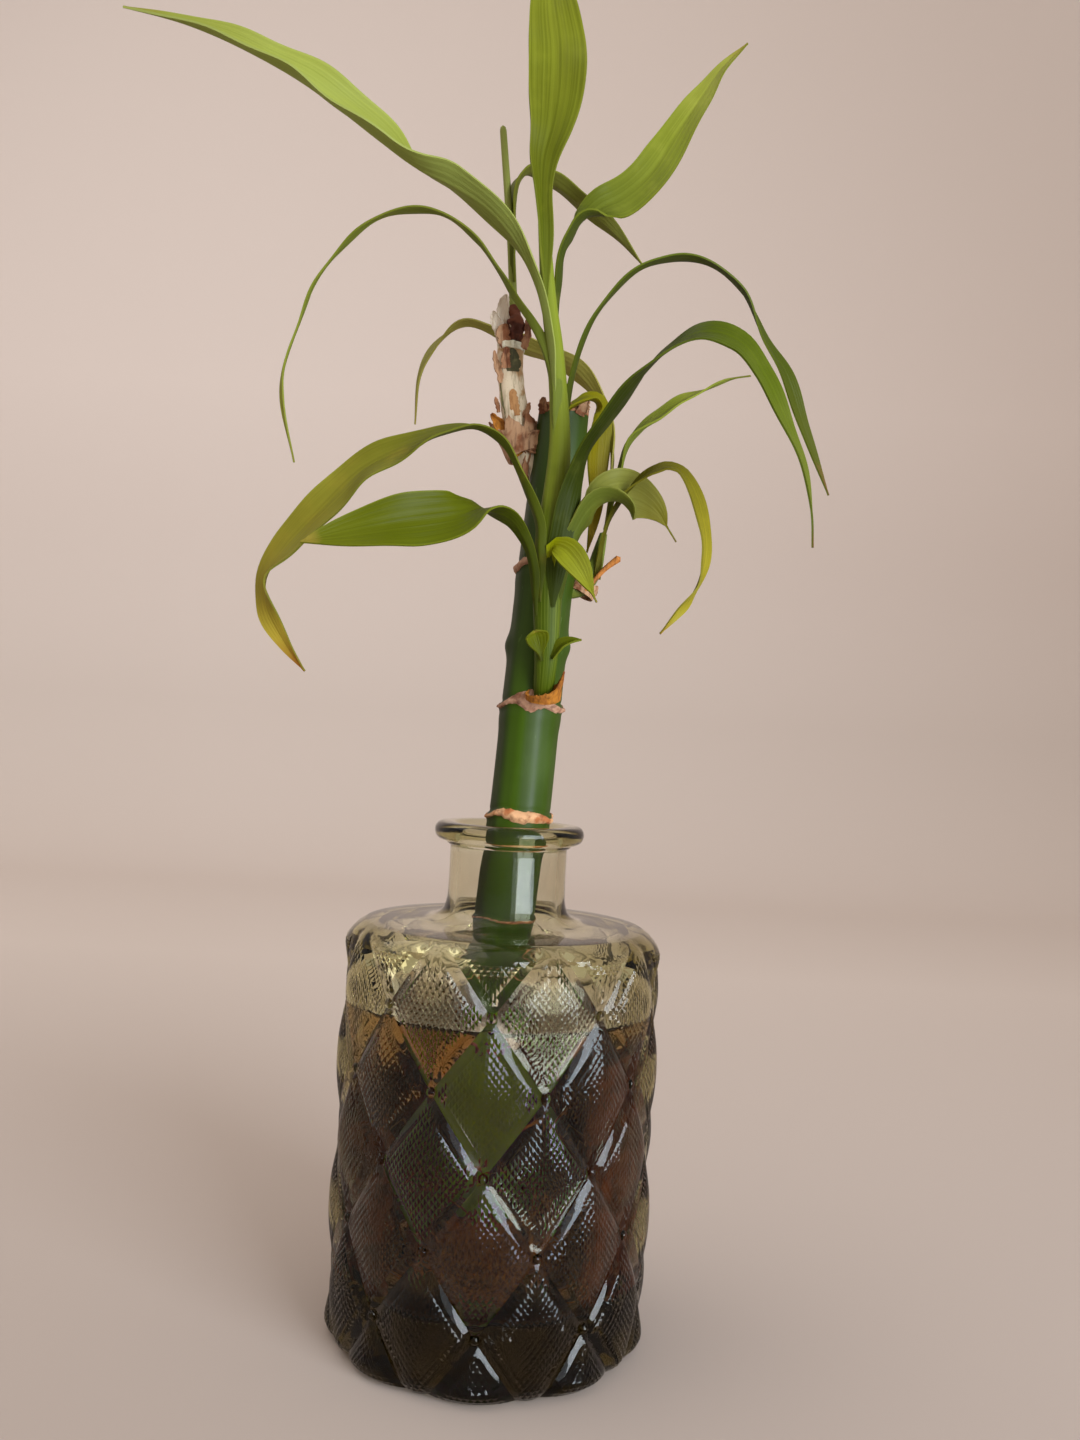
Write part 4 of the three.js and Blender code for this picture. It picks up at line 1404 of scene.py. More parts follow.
ARCH_LEAF = LeafFinish("arch_leaf", (66, 70, 4), (82, 80, 4), (150, 138, 32), (160, 146, 42),
                       (86, 82, 6), (150, 110, 40), margin=(168, 158, 60))
OLIVE_LEAF = LeafFinish("olive_leaf", (108, 110, 18), (158, 152, 68), (162, 158, 90),
                        (162, 156, 84), (158, 150, 72), (150, 110, 40), margin=(170, 160, 76))
YELLOW_LEAF = LeafFinish("yellow_leaf", (120, 122, 4), (138, 132, 8), (142, 122, 26),
                         (148, 122, 36), (142, 130, 12), (150, 120, 40), light_through=0.4)
AGED_LEAF = LeafFinish("aged_leaf", (46, 56, 4), (84, 92, 18), (154, 146, 48), (180, 154, 54),
                       (78, 88, 16), (158, 96, 34), margin=(150, 152, 60))
BACK_LEAF = LeafFinish("back_leaf", (84, 92, 30), (112, 116, 38), (132, 128, 62), (142, 136, 80),
                       (106, 110, 42), (158, 130, 80))
STRIPED_LEAF = LeafFinish("striped_leaf", (104, 114, 34), (88, 94, 10), (126, 132, 32),
                          (136, 142, 40), (84, 94, 22), margin=(156, 162, 62), streaks=0.7)
FOLDED_LEAF = LeafFinish("folded_leaf", (56, 66, 16), (66, 78, 20), (132, 140, 44), (160, 162, 68),
                         (60, 72, 18))
SPROUT_LEAF = LeafFinish("sprout_leaf", (112, 120, 4), (140, 144, 2), (148, 152, 44),
                         (132, 134, 30), (90, 100, 10))


def ribbon(route: Route, along: np.ndarray, turns: np.ndarray, out: np.ndarray,
           rise: np.ndarray) -> np.ndarray:
    """Places points beside a rib.

    Args:
        route: The rib.
        along: Shares of its length.
        turns: How far the blade turns about the rib, in degrees; at 0 it faces the viewer.
        out: Distances to the side, in millimetres.
        rise: Distances off the blade, in millimetres.

    Returns:
        The points.
    """
    centre, ahead = route.at(along)
    turn = np.radians(turns)[:, None]
    level = unit(np.cross(ahead, FRONT))
    side = level * np.cos(turn) + np.cross(ahead, level) * np.sin(turn)
    up = np.cross(side, ahead)
    return centre + side * out[:, None] + up * rise[:, None]


@dataclass(frozen=True)
class Leaf:
    """One strap-shaped leaf: its rib, how it turns about it, its width and its root on the stem.

    Turns, in degrees, and cups, the rise of the margins, are read at even steps. Thread is the
    share of the length that is a thin tip, and clasp how far the foot folds round the stem.
    """

    node: str
    slot: Slot
    finish: LeafFinish
    rib: tuple[Point, ...]
    turns: tuple[float, ...]
    width: float
    neck: float = 0.3
    peak: float = 0.5
    cups: tuple[float, ...] = (0.3, 0.25)
    wave: float = 0.5
    thread: float = 0.0
    clasp: float = 0.0
    root: tuple[Point, ...] = ()
    thickness: float = 0.42
    least_half_width: float = 0.16
    columns: int = 28
    row_spacing: float = 1.1

    @cached_property
    def line(self) -> Route:
        """The line of its rib, from its root on the stem."""
        return Route((*self.root, *self.rib[1:]) if self.root else self.rib)

    @cached_property
    def start(self) -> float:
        """The share of the line that is root."""
        first_step = max(len(self.root) - 1, 0) * Route.STEPS_PER_SPAN
        return self.line.reach[first_step] / self.line.length

    def outline(self, share: np.ndarray) -> np.ndarray:
        """Gives the half width along the rib.

        Args:
            share: Shares of the length of the blade.

        Returns:
            The half widths, as shares of the widest.
        """
        share = share / (1.0 - self.thread)
        growing = self.neck + (1 - self.neck) * smootherstep(share / self.peak)
        rest = np.clip((share - self.peak) / (1 - self.peak), 0, 1)
        closing = np.clip(1 - rest**1.8, 0, 1) ** 0.95
        return np.where(share < self.peak, growing, closing)

    def form(self, across: np.ndarray, along: np.ndarray) -> np.ndarray:
        """Bends the flat grid into the blade, with its ripples, crease and pleats.

        Args:
            across: Shares across the grid.
            along: Shares along it.

        Returns:
            The points, in millimetres.
        """
        length = self.line.length * (1 - self.start)
        share = np.clip((along - self.start) / (1 - self.start), 0, 1)
        spot = 2 * across - 1
        edge = np.abs(spot)
        rooted = smoothstep(along, -0.3 * self.start, self.start) if self.root else 1.0
        half = np.maximum(self.least_half_width, self.width / 2 * self.outline(share) * rooted)
        bend = run_through(self.cups, share) + self.clasp * (1 - smoothstep(share, 0.0, 0.22))
        ripple = self.wave * np.sin(share * length * 0.35 + spot) * edge * np.sin(math.pi * share)
        crease = -0.07 * np.exp(-((spot / 0.14) ** 2)) * smoothstep(half, 0.6, 2.5)
        pleats = 0.035 * np.sin(spot * 21) * smoothstep(half, 0.8, 2.5)
        rise = bend * half * (edge**1.4 - 0.4) + ripple + crease + pleats
        return ribbon(self.line, along, run_through(self.turns, share), half * spot, rise)

    def build(self) -> None:
        """Builds and dresses the leaf."""
        rows = round(np.clip(self.line.length / self.row_spacing, 24, 140))
        grid = lay_grid(f"{self.node}_blade", self.columns, rows)
        faces = [self.finish.material(side) for side in LeafSide]
        obj = complete(grid, self.form, *faces, thickness=self.thickness, crisp=55.0)
        seat(obj, self.slot, self.node)


LEAVES = (
    Leaf("leaf_left_low", Slot.LEAF_GREEN, GREEN_LEAF, ((5, -8, 161), (1.4, -10.5, 169.4),
         (-0.1, -11, 172.4), (-3, -13, 175.8), (-9, -17, 177), (-14, -20, 175), (-25, -24, 172),
         (-35, -27, 169), (-44, -29, 166)), (150, 140, 106, 20, 8, 15, 20, 25), 11.5, neck=0.2,
         peak=0.6, cups=(0.2, 0.15), clasp=0.2, root=((3.4, -9.2, 156), (2.9, -9.7, 161),
         (2.5, -10.1, 165.2))),
    Leaf("leaf_left_long", Slot.LEAF_GREEN, AGED_LEAF, ((5, -7, 164), (3, -9, 176), (-2, -8, 187),
         (-6.5, -6, 194), (-12, -5, 197), (-19, -3, 196), (-28, 0, 193), (-38, 3, 188),
         (-47, 5, 179), (-55, 6, 170), (-59, 6, 163), (-58, 5, 156), (-53, 4, 148), (-48, 3, 142)),
         (150, 124, 102, 76, 35, 28, 25, 30, 62, 20, 30), 9, neck=0.3, peak=0.66, clasp=0.2,
         root=((4.1, -8.9, 159), (3.8, -9.1, 166), (3.4, -9.2, 171))),
    Leaf("leaf_front_small", Slot.LEAF_PALE, SPROUT_LEAF, ((7, -8, 166), (6.2, -10.4, 170.9),
         (8.3, -12.5, 170.3), (10.5, -15, 167.9), (12.2, -17.2, 165.2), (13.6, -19, 162.5),
         (14.9, -20, 159.9), (15.8, -20, 158.2)), (-20, -8, 0, 0, 0), 6, neck=0.34, peak=0.42,
         wave=0.15, cups=(0.25, 0.2), thread=0.07, root=((6.4, -9.2, 164), (6.0, -9.6, 168))),
    Leaf("leaf_right_dark", Slot.LEAF_DARK, DARK_LEAF, ((7.5, -9, 164), (7.9, -9.6, 173),
         (8.9, -10, 180), (10.2, -10.8, 186), (12.1, -12.2, 191.6), (15.6, -14.6, 197),
         (22.4, -18, 206), (28, -20, 211.6), (35, -22, 214.6), (42, -23, 212.6), (47, -24, 206),
         (52, -25, 196), (56, -25, 187), (58, -25, 178), (58.5, -25, 171)), (-178, -160, -112, -104,
         -97, -70, -40, -35, -40, -48, -55, -60), 8, neck=0.62, peak=0.45, thread=0.06, wave=0.25,
         cups=(0.2, 0.1, 0.15, 0.2), root=((6.9, -9.3, 158), (7.0, -9.5, 164), (7.3, -9.6, 169))),
    Leaf("leaf_right_outer", Slot.LEAF_DARK, OUTER_LEAF, ((7, -3.5, 202), (10, -1, 217),
         (14, 2, 227), (19.4, 5, 235), (25.5, 8, 240.4), (33, 11, 243.2), (41.5, 14, 242.4),
         (48, 16, 238), (54, 18, 228), (60, 20, 220), (65, 21, 208), (72, 22, 192)), (-120, -104,
         -92, -86, -80, -72, -40, -36, -45), 5.4, neck=0.46, peak=0.7, cups=(0.2, 0.1, 0.15, 0.2),
         wave=0.2, root=((7.9, -5.9, 190), (7.8, -5.2, 196), (7.6, -4, 202))),
    Leaf("leaf_left_arch", Slot.LEAF_GREEN, BRIGHT_LEAF, ((5.5, -3, 206), (2.1, -3.4, 215.4),
         (-1.1, -1.8, 221.5), (-5, 1.5, 227.6), (-9, 4.6, 234.8), (-14.6, 8, 243), (-22, 11, 249.8),
         (-30, 14, 252.4), (-38, 17, 252), (-46, 20, 247.5), (-54, 22, 238), (-58.5, 24, 227),
         (-61.7, 25, 216), (-61.6, 25, 209), (-58, 26, 194)), (150, 110, 92, 84, 80, 78, 76, 78, 55,
         60), 4.4, neck=0.7, peak=0.5, cups=(0.4, 0.15, 0.1, 0.2), wave=0.25, clasp=0.5,
         root=((5.4, -6.2, 194), (5.0, -5.8, 201), (4.6, -5, 207.5))),
    Leaf("leaf_top_left", Slot.LEAF_PALE, PALE_LEAF, ((3.4, -3.5, 217), (-0.3, -6, 229),
         (-4.4, -8, 236), (-11, -11, 242.4), (-18.7, -14, 246.2), (-26, -17, 248.6),
         (-33.4, -20, 252.7), (-41.4, -23, 257.4), (-50.4, -26, 261.8), (-60, -29, 265),
         (-71.3, -31, 267.8), (-84, -33, 269)), (95, 108, 112, 80, 42, 42, 45, 50), 10, neck=0.3,
         peak=0.45, cups=(0.3, 0.2, 0.4, 0.8, 0.8, 0.4), clasp=0.5, root=((5, -5.6, 204),
         (4.2, -5.3, 210), (3.2, -4.8, 217))),
    Leaf("leaf_top", Slot.LEAF_PALE, STRIPED_LEAF, ((0.6, -3, 242), (-0.2, -4.4, 250),
         (-0.3, -3.6, 258), (1, -3, 266), (1.6, -2, 275), (1.3, 0, 285), (-0.4, 3, 297),
         (-2.4, 9, 315)), (30, 10, 0, 0, -5, -20), 13, neck=0.28, peak=0.55, cups=(0.4, 0.15, 0.2),
         clasp=0.4, wave=0.8, root=((1.9, -5.2, 226), (1.2, -5.3, 234), (0.6, -5.1, 242))),
    Leaf("leaf_top_right", Slot.LEAF_GREEN, FOLDED_LEAF, ((3.2, -2.6, 217), (4.3, -0.4, 231),
         (5.1, 1.6, 239), (7, 4, 245.4), (9.6, 6.2, 249.4), (11.6, 7.6, 251.2), (14, 8.8, 253.4),
         (18, 10.4, 256.4), (24.4, 13, 263.6), (31, 16, 276), (36, 18, 285), (40.5, 20, 293),
         (47, 22, 301)), (-110, -112, -108, -100, -96, -90, -30, -6, -4, -5, -8, -10, -15, -20, -28,
         -32, -35), 9.5, neck=0.34, peak=0.48, cups=(0.15, 0.1, 0.3, 0.2), clasp=0.2,
         root=((6.2, -4.6, 205), (5.4, -3.6, 211), (4.6, -2.6, 217))),
    Leaf("leaf_back_top", Slot.LEAF_GREEN, BACK_LEAF, ((-6.3, 12.4, 236), (-6.6, 10.5, 244),
         (-7, 11.5, 252), (-6.4, 14.5, 261), (-4, 17, 264.6), (1, 20, 264), (7, 24, 262),
         (13.6, 28, 259), (19.5, 32, 255.6), (25, 35, 251)), (-60, -70, -76, -100, -115, -105), 6.5,
         neck=0.3, peak=0.6),
    Leaf("leaf_back_left", Slot.LEAF_OLIVE, OLIVE_LEAF, ((18, 9.5, 178), (19, 12, 190),
         (18.5, 14, 201), (15.6, 17, 210.5), (10.8, 20, 217.4), (5.6, 23, 221.7), (-2, 26, 225),
         (-9.5, 29, 229), (-19, 32, 232), (-25.6, 35, 228), (-29.7, 37, 220), (-30.4, 38, 208)),
         (84, 92, 118, 116, 100, 60, 76), 6, neck=0.3, peak=0.5),
    Leaf("leaf_back_drooping", Slot.LEAF_OLIVE, YELLOW_LEAF, ((7, -2, 202), (9, 0, 204.2),
         (11, 2.4, 206), (13.1, 5.4, 207.6), (15, 8.4, 207.4), (15.8, 10.8, 204.6),
         (15.7, 12.4, 200.5), (15.6, 13, 195), (15.8, 13, 188), (15.4, 13, 181),
         (14.3, 12.6, 173.6)), (-70, -50, -30, -28, -30), 6, neck=0.6, peak=0.42, wave=0.2),
    Leaf("leaf_right_thin", Slot.LEAF_GREEN, BRIGHT_LEAF, ((18.2, 9.4, 178.6), (20.4, 9.4, 190.1),
         (21.2, 11, 194.8), (22.7, 13, 199.6), (25.5, 15, 203.6), (28.1, 17, 206.6),
         (31.5, 19, 209.5), (37.4, 22, 214.3), (45, 26.5, 219), (49.4, 31, 222), (53.5, 33, 223.4)),
         (-70, -70, -72, -88, -48, -55, -75, -80, -85), 5, neck=0.36, peak=0.5, thread=0.05),
    Leaf("leaf_right_pale", Slot.LEAF_PALE, TONGUE_LEAF, ((7.5, -8, 166), (9.9, -8, 171.7),
         (11.8, -8, 176.2), (14.2, -7, 180.2), (17.1, -4, 182.9), (20.5, 0, 184.8),
         (24.9, 5, 185.6), (28.4, 8, 184.4), (30.8, 9.6, 182.4), (32.3, 10, 180.1),
         (34.6, 10, 176.7)), (-135, -125, -114, -40, 0, 0, 5, 0), 12, neck=0.36, peak=0.56,
         cups=(0.3, 0.15), thread=0.09, clasp=0.3, root=((8.4, -8.2, 160), (8.8, -8.2, 166),
         (9.1, -8.1, 169))),
    Leaf("leaf_right_arch", Slot.LEAF_OLIVE, ARCH_LEAF, ((16.6, 5.2, 166.5), (17, 5, 171.5),
         (17.5, 4.8, 175.4), (18.6, 4, 179.9), (20.5, 2, 183.4), (23.1, 0, 186.8),
         (25.7, -2, 189.1), (27.9, -4, 190.1), (30.4, -5, 190.7), (33, -6, 189.7),
         (34.3, -6.5, 188.2), (36.9, -7, 183.2), (38.5, -8, 177.6), (39.1, -9, 172.1),
         (38.2, -9, 165.5), (36.1, -10, 161), (33.4, -11, 157.5), (29.9, -12, 153.2)), (-150, -124,
         -104, -97, -70, -52, -48, -50, -52, -58, -88, -30, -30), 4.8, neck=0.36, peak=0.62,
         cups=(0.15, 0.15, 0.2), wave=0.25),
    Leaf("scale_leaf_left", Slot.LEAF_GREEN, GREEN_LEAF, ((5.2, -9.2, 146.4), (4.3, -9.9, 149.6),
         (3.3, -10.7, 152.6)), (12, 12), 5, neck=0.14, peak=0.84, cups=(0.3, 0.5), wave=0),
    Leaf("scale_leaf_right", Slot.LEAF_GREEN, GREEN_LEAF, ((7.0, -8.5, 147.2), (8.8, -9, 150),
         (10.9, -9.2, 151), (13.4, -9.2, 151.3)), (-30, -50), 2.8, neck=0.7, peak=0.4, wave=0),
)


# Shoots, sheaths and dry parts


@dataclass(frozen=True)
class Stem:
    """A stem of one of the shoots."""

    node: str
    name: str
    slot: Slot
    finish: StemFinish | DryFinish
    tube: Tube

    def build(self) -> None:
        """Builds and dresses the stem."""
        seat(self.tube.build(self.name, self.finish.material(), 32.0), self.slot, self.node)


STEMS = (
    Stem("front_shoot_stem", "front_shoot_tube", Slot.STEM, StemFinish("young_shoot", (56, 70, 2),
         (108, 118, 30), (120, 130, 48)), Tube(((5.7, 0, 137), (5.8, -4.6, 141), (6, -6.6, 148),
         (5.6, -7, 160), (5.4, -7, 168), (6, -6.5, 175), (6.4, -6, 184), (6.5, -5, 195),
         (5.8, -4, 204), (4.4, -3.5, 215), (2.5, -3, 226), (1, -3, 238), (0, -3, 247)), ((1.7, 1.6),
         (2.6, 2), (3.2, 2.3), (3.2, 2.4), (2.4, 2), (2.0, 1.7), (1.8, 1.5), (1.5, 1.3), (1.1, 1)),
         sides=36, laps=0.07)),
    Stem("right_shoot_stem", "right_shoot_tube", Slot.STEM, StemFinish("right_shoot_green",
         (80, 90, 24), (96, 108, 40), (136, 140, 74)), Tube(((9, 6, 163.5), (13, 6.4, 164.5),
         (15.6, 7, 168), (16.8, 8, 173), (17.8, 9, 178)), ((2, 2), (1.9, 1.8), (1.5, 1.4),
         (0.8, 0.7)), laps=0.05)),
    Stem("cut_stalk", "cut_stalk_tube", Slot.STEM, StemFinish("stalk_green", (120, 128, 56),
         (132, 138, 66), (160, 160, 92)), Tube(((-5.2, 14, 221), (-6.2, 13.2, 233),
         (-7.3, 12.6, 245), (-8.6, 13, 256), (-10.8, 14, 273.7)), ((1, 1), (0.9, 0.9), (0.8, 0.8)),
         sides=18)),
    Stem("dried_stub", "dried_stub_twig", Slot.AMBER, DryFinish("amber_twig", (172, 108, 48),
         (120, 66, 30), (70, 40, 22), 0.4), Tube(((13.4, 4, 163), (15.4, 3.5, 165.2),
         (18, 3, 168.4), (21.5, 2, 171.3)), ((0.5, 0.5), (0.5, 0.5), (0.6, 0.6), (0.85, 0.7)),
         sides=14)),
    Stem("dried_shoot_stem", "dried_shoot_core", Slot.DRY_STEM, DryFinish("bleached_stem",
         (204, 186, 158), (160, 124, 84), (104, 88, 56), 0.42, (300.0, 300.0, 30.0)),
         Tube(((3, 7, 188), (0, 7.6, 193), (-2.6, 8.2, 199), (-4.6, 9, 207), (-5.9, 10, 216),
         (-5.9, 10, 220.5)), ((2.4, 2.4), (3, 3), (3.2, 3), (3, 2.9), (2.9, 2.8), (3, 2.9)),
         sides=40, spacing=0.35, laps=0.05, lumps=0.05)),
    Stem("dead_bud", "dead_bud_core", Slot.DEAD_BUD, DryFinish("dead_bud_brown", (112, 62, 42),
         (74, 36, 24), (34, 18, 12), 0.5, (90.0, 90.0, 90.0)), Tube(((-5.8, 9.6, 221),
         (-5.6, 9.3, 224.4), (-5.7, 9.6, 229.6)), ((2.3, 2.1), (2.7, 2.2), (1.9, 1.6), (0.9, 0.8)),
         sides=48, spacing=0.15, lumps=0.42)),
)


@dataclass(frozen=True)
class RaggedCup:
    """A torn, papery sheath round a stem, with the heights of its rim at even steps round it."""

    node: str | None
    name: str
    slot: Slot
    finish: DryFinish
    foot: Point
    axis: Point
    radius: float
    heights: tuple[float, ...]
    flare: float = 0.1
    torn: float = 0.6
    thickness: float = 0.4
    seed: float = 1.0
    least_height: float = 0.8
    columns: int = 96
    rows: int = 14

    def form(self, across: np.ndarray, along: np.ndarray) -> np.ndarray:
        """Wraps the flat grid into the cup, with its torn rim.

        Args:
            across: Shares across the grid.
            along: Shares along it.

        Returns:
            The points, in millimetres.
        """
        angle = across * math.tau
        around = across * len(self.heights)
        whole = np.floor(around).astype(int)
        table = np.array(self.heights)
        first, second = (table[(whole + step) % len(table)] for step in (0, 1))
        height = first + (second - first) * (around - whole)
        jag = stack(np.cos(angle) * 3, np.sin(angle) * 3, 0.0)
        height = height + self.torn * rough(jag, 1.3, self.seed)
        height = np.maximum(height + self.torn * 0.5 * rough(jag, 4.0, self.seed),
                            self.least_height)
        crumple = 0.18 * rough(stack(jag[:, 0], jag[:, 1], along * 4), 0.9, self.seed + 3)
        reach = self.radius + self.flare * height * along + crumple
        local = stack(reach * np.cos(angle), reach * np.sin(angle), height * along)
        turn = Vector((0, 0, 1)).rotation_difference(Vector(self.axis).normalized()).to_matrix()
        return local @ np.array(turn).T + np.array(self.foot)

    def build(self) -> None:
        """Builds and dresses the cup."""
        obj = complete(lay_grid(self.name, self.columns, self.rows), self.form,
                       self.finish.material(), reach=WELD_REACH, thickness=self.thickness,
                       crisp=45.0)
        seat(obj, self.slot, self.node)


AMBER_HUSK = DryFinish("amber_husk", (176, 112, 36), (130, 72, 26), (76, 40, 18), 0.5,
                       light_through=0.25)
TAN_HUSK = DryFinish("tan_husk", (176, 136, 102), (134, 84, 54), (76, 44, 30), 0.5,
                     light_through=0.15)
SCAR_HUSK = DryFinish("ring_scar", (152, 108, 76), (112, 66, 42), (62, 34, 22), 0.45)
PAPER_HUSK = DryFinish("paper_husk", (226, 214, 196), (208, 188, 162), (170, 142, 112), 0.3,
                       light_through=0.4)
WHITE_HUSK = DryFinish("white_husk", (210, 204, 182), (184, 172, 146), (140, 122, 94), 0.25)
MOULD = DryFinish("mould", (92, 86, 52), (62, 58, 34), (34, 30, 20), 0.55)
RUST_PATCH = DryFinish("rust_patch", (168, 122, 76), (142, 88, 46), (92, 58, 34), 0.5)

CUPS = (
    RaggedCup("amber_bud_sheath", "amber_bud_husk", Slot.AMBER, AMBER_HUSK, (5.8, -4, 138.4),
              (0, -0.4, 1), 3.6, (6.5, 4, 2.2, 2, 2.2, 1.6, 1.2, 1, 1.2, 1.6, 2, 2.4, 2.8, 4.5),
              torn=0.5),
    RaggedCup("dried_shoot_collar", "dried_shoot_husk", Slot.HUSK, TAN_HUSK, (-0.9, 7.8, 194.2),
              (-0.42, 0.1, 1), 4.3, (6, 9, 5.5, 7, 10, 8, 6.5, 11, 8, 6, 9, 5, 8, 5), torn=1.2),
    RaggedCup("right_shoot_sheath", "right_shoot_husk", Slot.HUSK, TAN_HUSK, (13, 6.4, 163),
              (0.5, 0.1, 1), 2.9, (2, 3.5, 2.5, 3, 2, 1.5, 2.4, 1.6, 2, 3)),
    RaggedCup(None, "dried_shoot_ring", Slot.HUSK, WHITE_HUSK, (-5.85, 9.95, 218.9), (0, 0, 1),
              2.75, (1.5, 1.7, 1.4, 1.6, 1.5, 1.3, 1.6, 1.5), 0.12, 0.15, 0.7),
)


@dataclass(frozen=True)
class Flap:
    """A small torn scrap of dry sheath, or a scale."""

    name: str
    finish: DryFinish
    rib: tuple[Point, ...]
    width: float
    turn: float = 0.0
    curl: float = 0.5
    node: str | None = None
    thickness: float = 0.3
    columns: int = 14
    rows: int = 26

    def form(self, across: np.ndarray, along: np.ndarray) -> np.ndarray:
        """Bends the flat grid into the flap, with its torn edges.

        Args:
            across: Shares across the grid.
            along: Shares along it.

        Returns:
            The points, in millimetres.
        """
        seed = sum(self.rib[0])
        spot = 2 * across - 1
        jag = stack(np.sign(spot) * 3, along * 9, 0.0)
        ragged = 1 + 0.35 * rough(jag, 0.8, seed) + 0.2 * rough(jag, 2.3, seed)
        half = self.width / 2 * ragged * np.sqrt(np.clip(1 - along**2.2, 0.01, 1))
        half = half * (0.7 + 0.3 * along)
        crumple = 0.35 * rough(stack(spot * 2, along * 4, 0.0), 0.9, seed)
        rise = self.curl * half * spot**2 + crumple * np.minimum(self.width / 3, 1)
        return ribbon(Route(self.rib), along, np.full(len(along), self.turn), half * spot, rise)

    def build(self) -> None:
        """Builds and dresses the flap."""
        obj = complete(lay_grid(self.name, self.columns, self.rows), self.form,
                       self.finish.material(), thickness=self.thickness, crisp=50.0)
        seat(obj, Slot.HUSK, self.node)


FLAPS = (
    Flap("bud_flap_tall", PAPER_HUSK, ((-6.6, 9.0, 221.0), (-7.9, 8.5, 226.5), (-7.5, 8.8, 231.6)),
         4.0, -20, node="husk_scale_left"),
    Flap("bud_flap_left", PAPER_HUSK, ((-7.2, 9, 220.2), (-9.0, 8.6, 224), (-10.4, 8.8, 227.6)),
         3.4, -15),
    Flap("bud_flap_low", TAN_HUSK, ((-6.9, 7.8, 219.2), (-7.8, 7.4, 221.8), (-7.2, 7.6, 224.4)),
         3.6),
    Flap("bud_flap_right", SCAR_HUSK, ((-3.2, 8.4, 219.2), (-2.3, 8.2, 222.4), (-2.5, 8.6, 226.2)),
         2.2, 25, node="husk_scale_right"),
    Flap("shoot_spike_top", TAN_HUSK, ((-7.4, 7.6, 210.8), (-8.8, 7.4, 214.8), (-9.6, 7.4, 218)),
         1.9),
    Flap("shoot_spike_middle", SCAR_HUSK, ((-7.7, 7.8, 204), (-8.2, 7.7, 205.6),
         (-8.8, 7.6, 207.4)), 1.1),
    Flap("shoot_flap_orange", AMBER_HUSK, ((-2.6, 5.2, 193.6), (-5.8, 5.6, 198.4),
         (-9.4, 6.6, 203.2)), 3.8),
    Flap("shoot_spike_right", SCAR_HUSK, ((-1.8, 6.0, 202.4), (-1.2, 5.9, 204.4), (-0.8, 5.8, 206)),
         1.5),
    Flap("shoot_flake_right", TAN_HUSK, ((-1.2, 4.7, 195), (1.6, 4.2, 198.2), (4.0, 4.2, 198)),
         3.6),
    Flap("shoot_flake_low", SCAR_HUSK, ((-1.8, 4.6, 196.4), (0.6, 4.3, 195), (3.2, 4.2, 195.4)),
         2.4),
    Flap("shoot_patch_red", SCAR_HUSK, ((-6.6, 6.9, 214), (-6.8, 6.7, 216.4), (-6.6, 6.8, 218.8)),
         2.6),
    Flap("shoot_patch_dark", MOULD, ((-5.3, 6.9, 213.4), (-5.4, 6.8, 216), (-5.6, 6.85, 218.6)),
         4.6, curl=-0.4),
    Flap("shoot_patch_orange", RUST_PATCH, ((-3.8, 5.6, 202.8), (-4.4, 5.75, 206),
         (-4.9, 6.05, 209)), 2.8, curl=-0.35),
    Flap("shoot_patch_side", MOULD, ((-5.0, 6.7, 200.8), (-6.4, 7.2, 206), (-7.6, 7.9, 211)), 1.9,
         35, curl=-0.3),
    Flap("shoot_tail", SCAR_HUSK, ((-0.6, 4.9, 194.4), (-1.0, 4.9, 190.4), (-0.2, 4.7, 186.2)),
         1.7),
    Flap("cane_rim_flake_right", TAN_HUSK, ((10.6, 2.2, 202.8), (11.4, 2.0, 204.6),
         (12.4, 2.4, 206.2)), 3.2),
    Flap("cane_rim_flake_left", SCAR_HUSK, ((2.6, 3.2, 203), (2.2, 3.0, 205), (2.5, 3.2, 206.6)),
         2.4),
)


@dataclass(frozen=True)
class RingScar:
    """A torn patch of old leaf base, lying on the cane at one of its rings.

    It reaches from one angle to another, in degrees. Low and high are its edges under and over
    the ring, at even steps between them.
    """

    name: str
    ring: float
    angles: tuple[float, float]
    low: tuple[float, ...]
    high: tuple[float, ...]
    finish: DryFinish
    lift: float = 0.28
    thickness: float = 0.2
    columns: int = 90
    rows: int = 12

    def form(self, cane: Cane, across: np.ndarray, along: np.ndarray) -> np.ndarray:
        """Lays the flat grid on the rind.

        Args:
            cane: The cane.
            across: Shares across the grid.
            along: Shares along it.

        Returns:
            The points, in millimetres.
        """
        first, last = (math.radians(angle) for angle in self.angles)
        angle = first + (last - first) * across
        jag = stack(np.cos(angle) * 6, np.sin(angle) * 6, self.ring)
        tear = 0.3 * rough(jag, 1.1, 2.0) + 0.16 * rough(jag, 3.0, 5.0)
        low = np.interp(across, np.linspace(0, 1, len(self.low)), self.low) + tear
        high = np.interp(across, np.linspace(0, 1, len(self.high)), self.high) + tear * 0.8
        height = cane.ring_height(self.ring, angle) + low + (high - low) * along
        inside = np.minimum(1 - np.abs(2 * along - 1), 4 * (1 - np.abs(2 * across - 1)))
        crust = 0.16 * rough(stack(angle * 6, height, 0.0), 1.4, 1.0)
        lift = 0.02 + (self.lift + crust) * smoothstep(inside, 0.0, 0.35)
        points = cane.place(angle, height)
        centre = cane.line.at_height(height)
        points[:, :2] += unit(points[:, :2] - centre) * lift[:, None]
        return points

    def build(self, cane: Cane) -> None:
        """Builds and dresses the patch on its cane."""
        obj = complete(lay_grid(self.name, self.columns, self.rows), partial(self.form, cane),
                       self.finish.material(), thickness=self.thickness, crisp=45.0)
        seat(obj, Slot.HUSK)


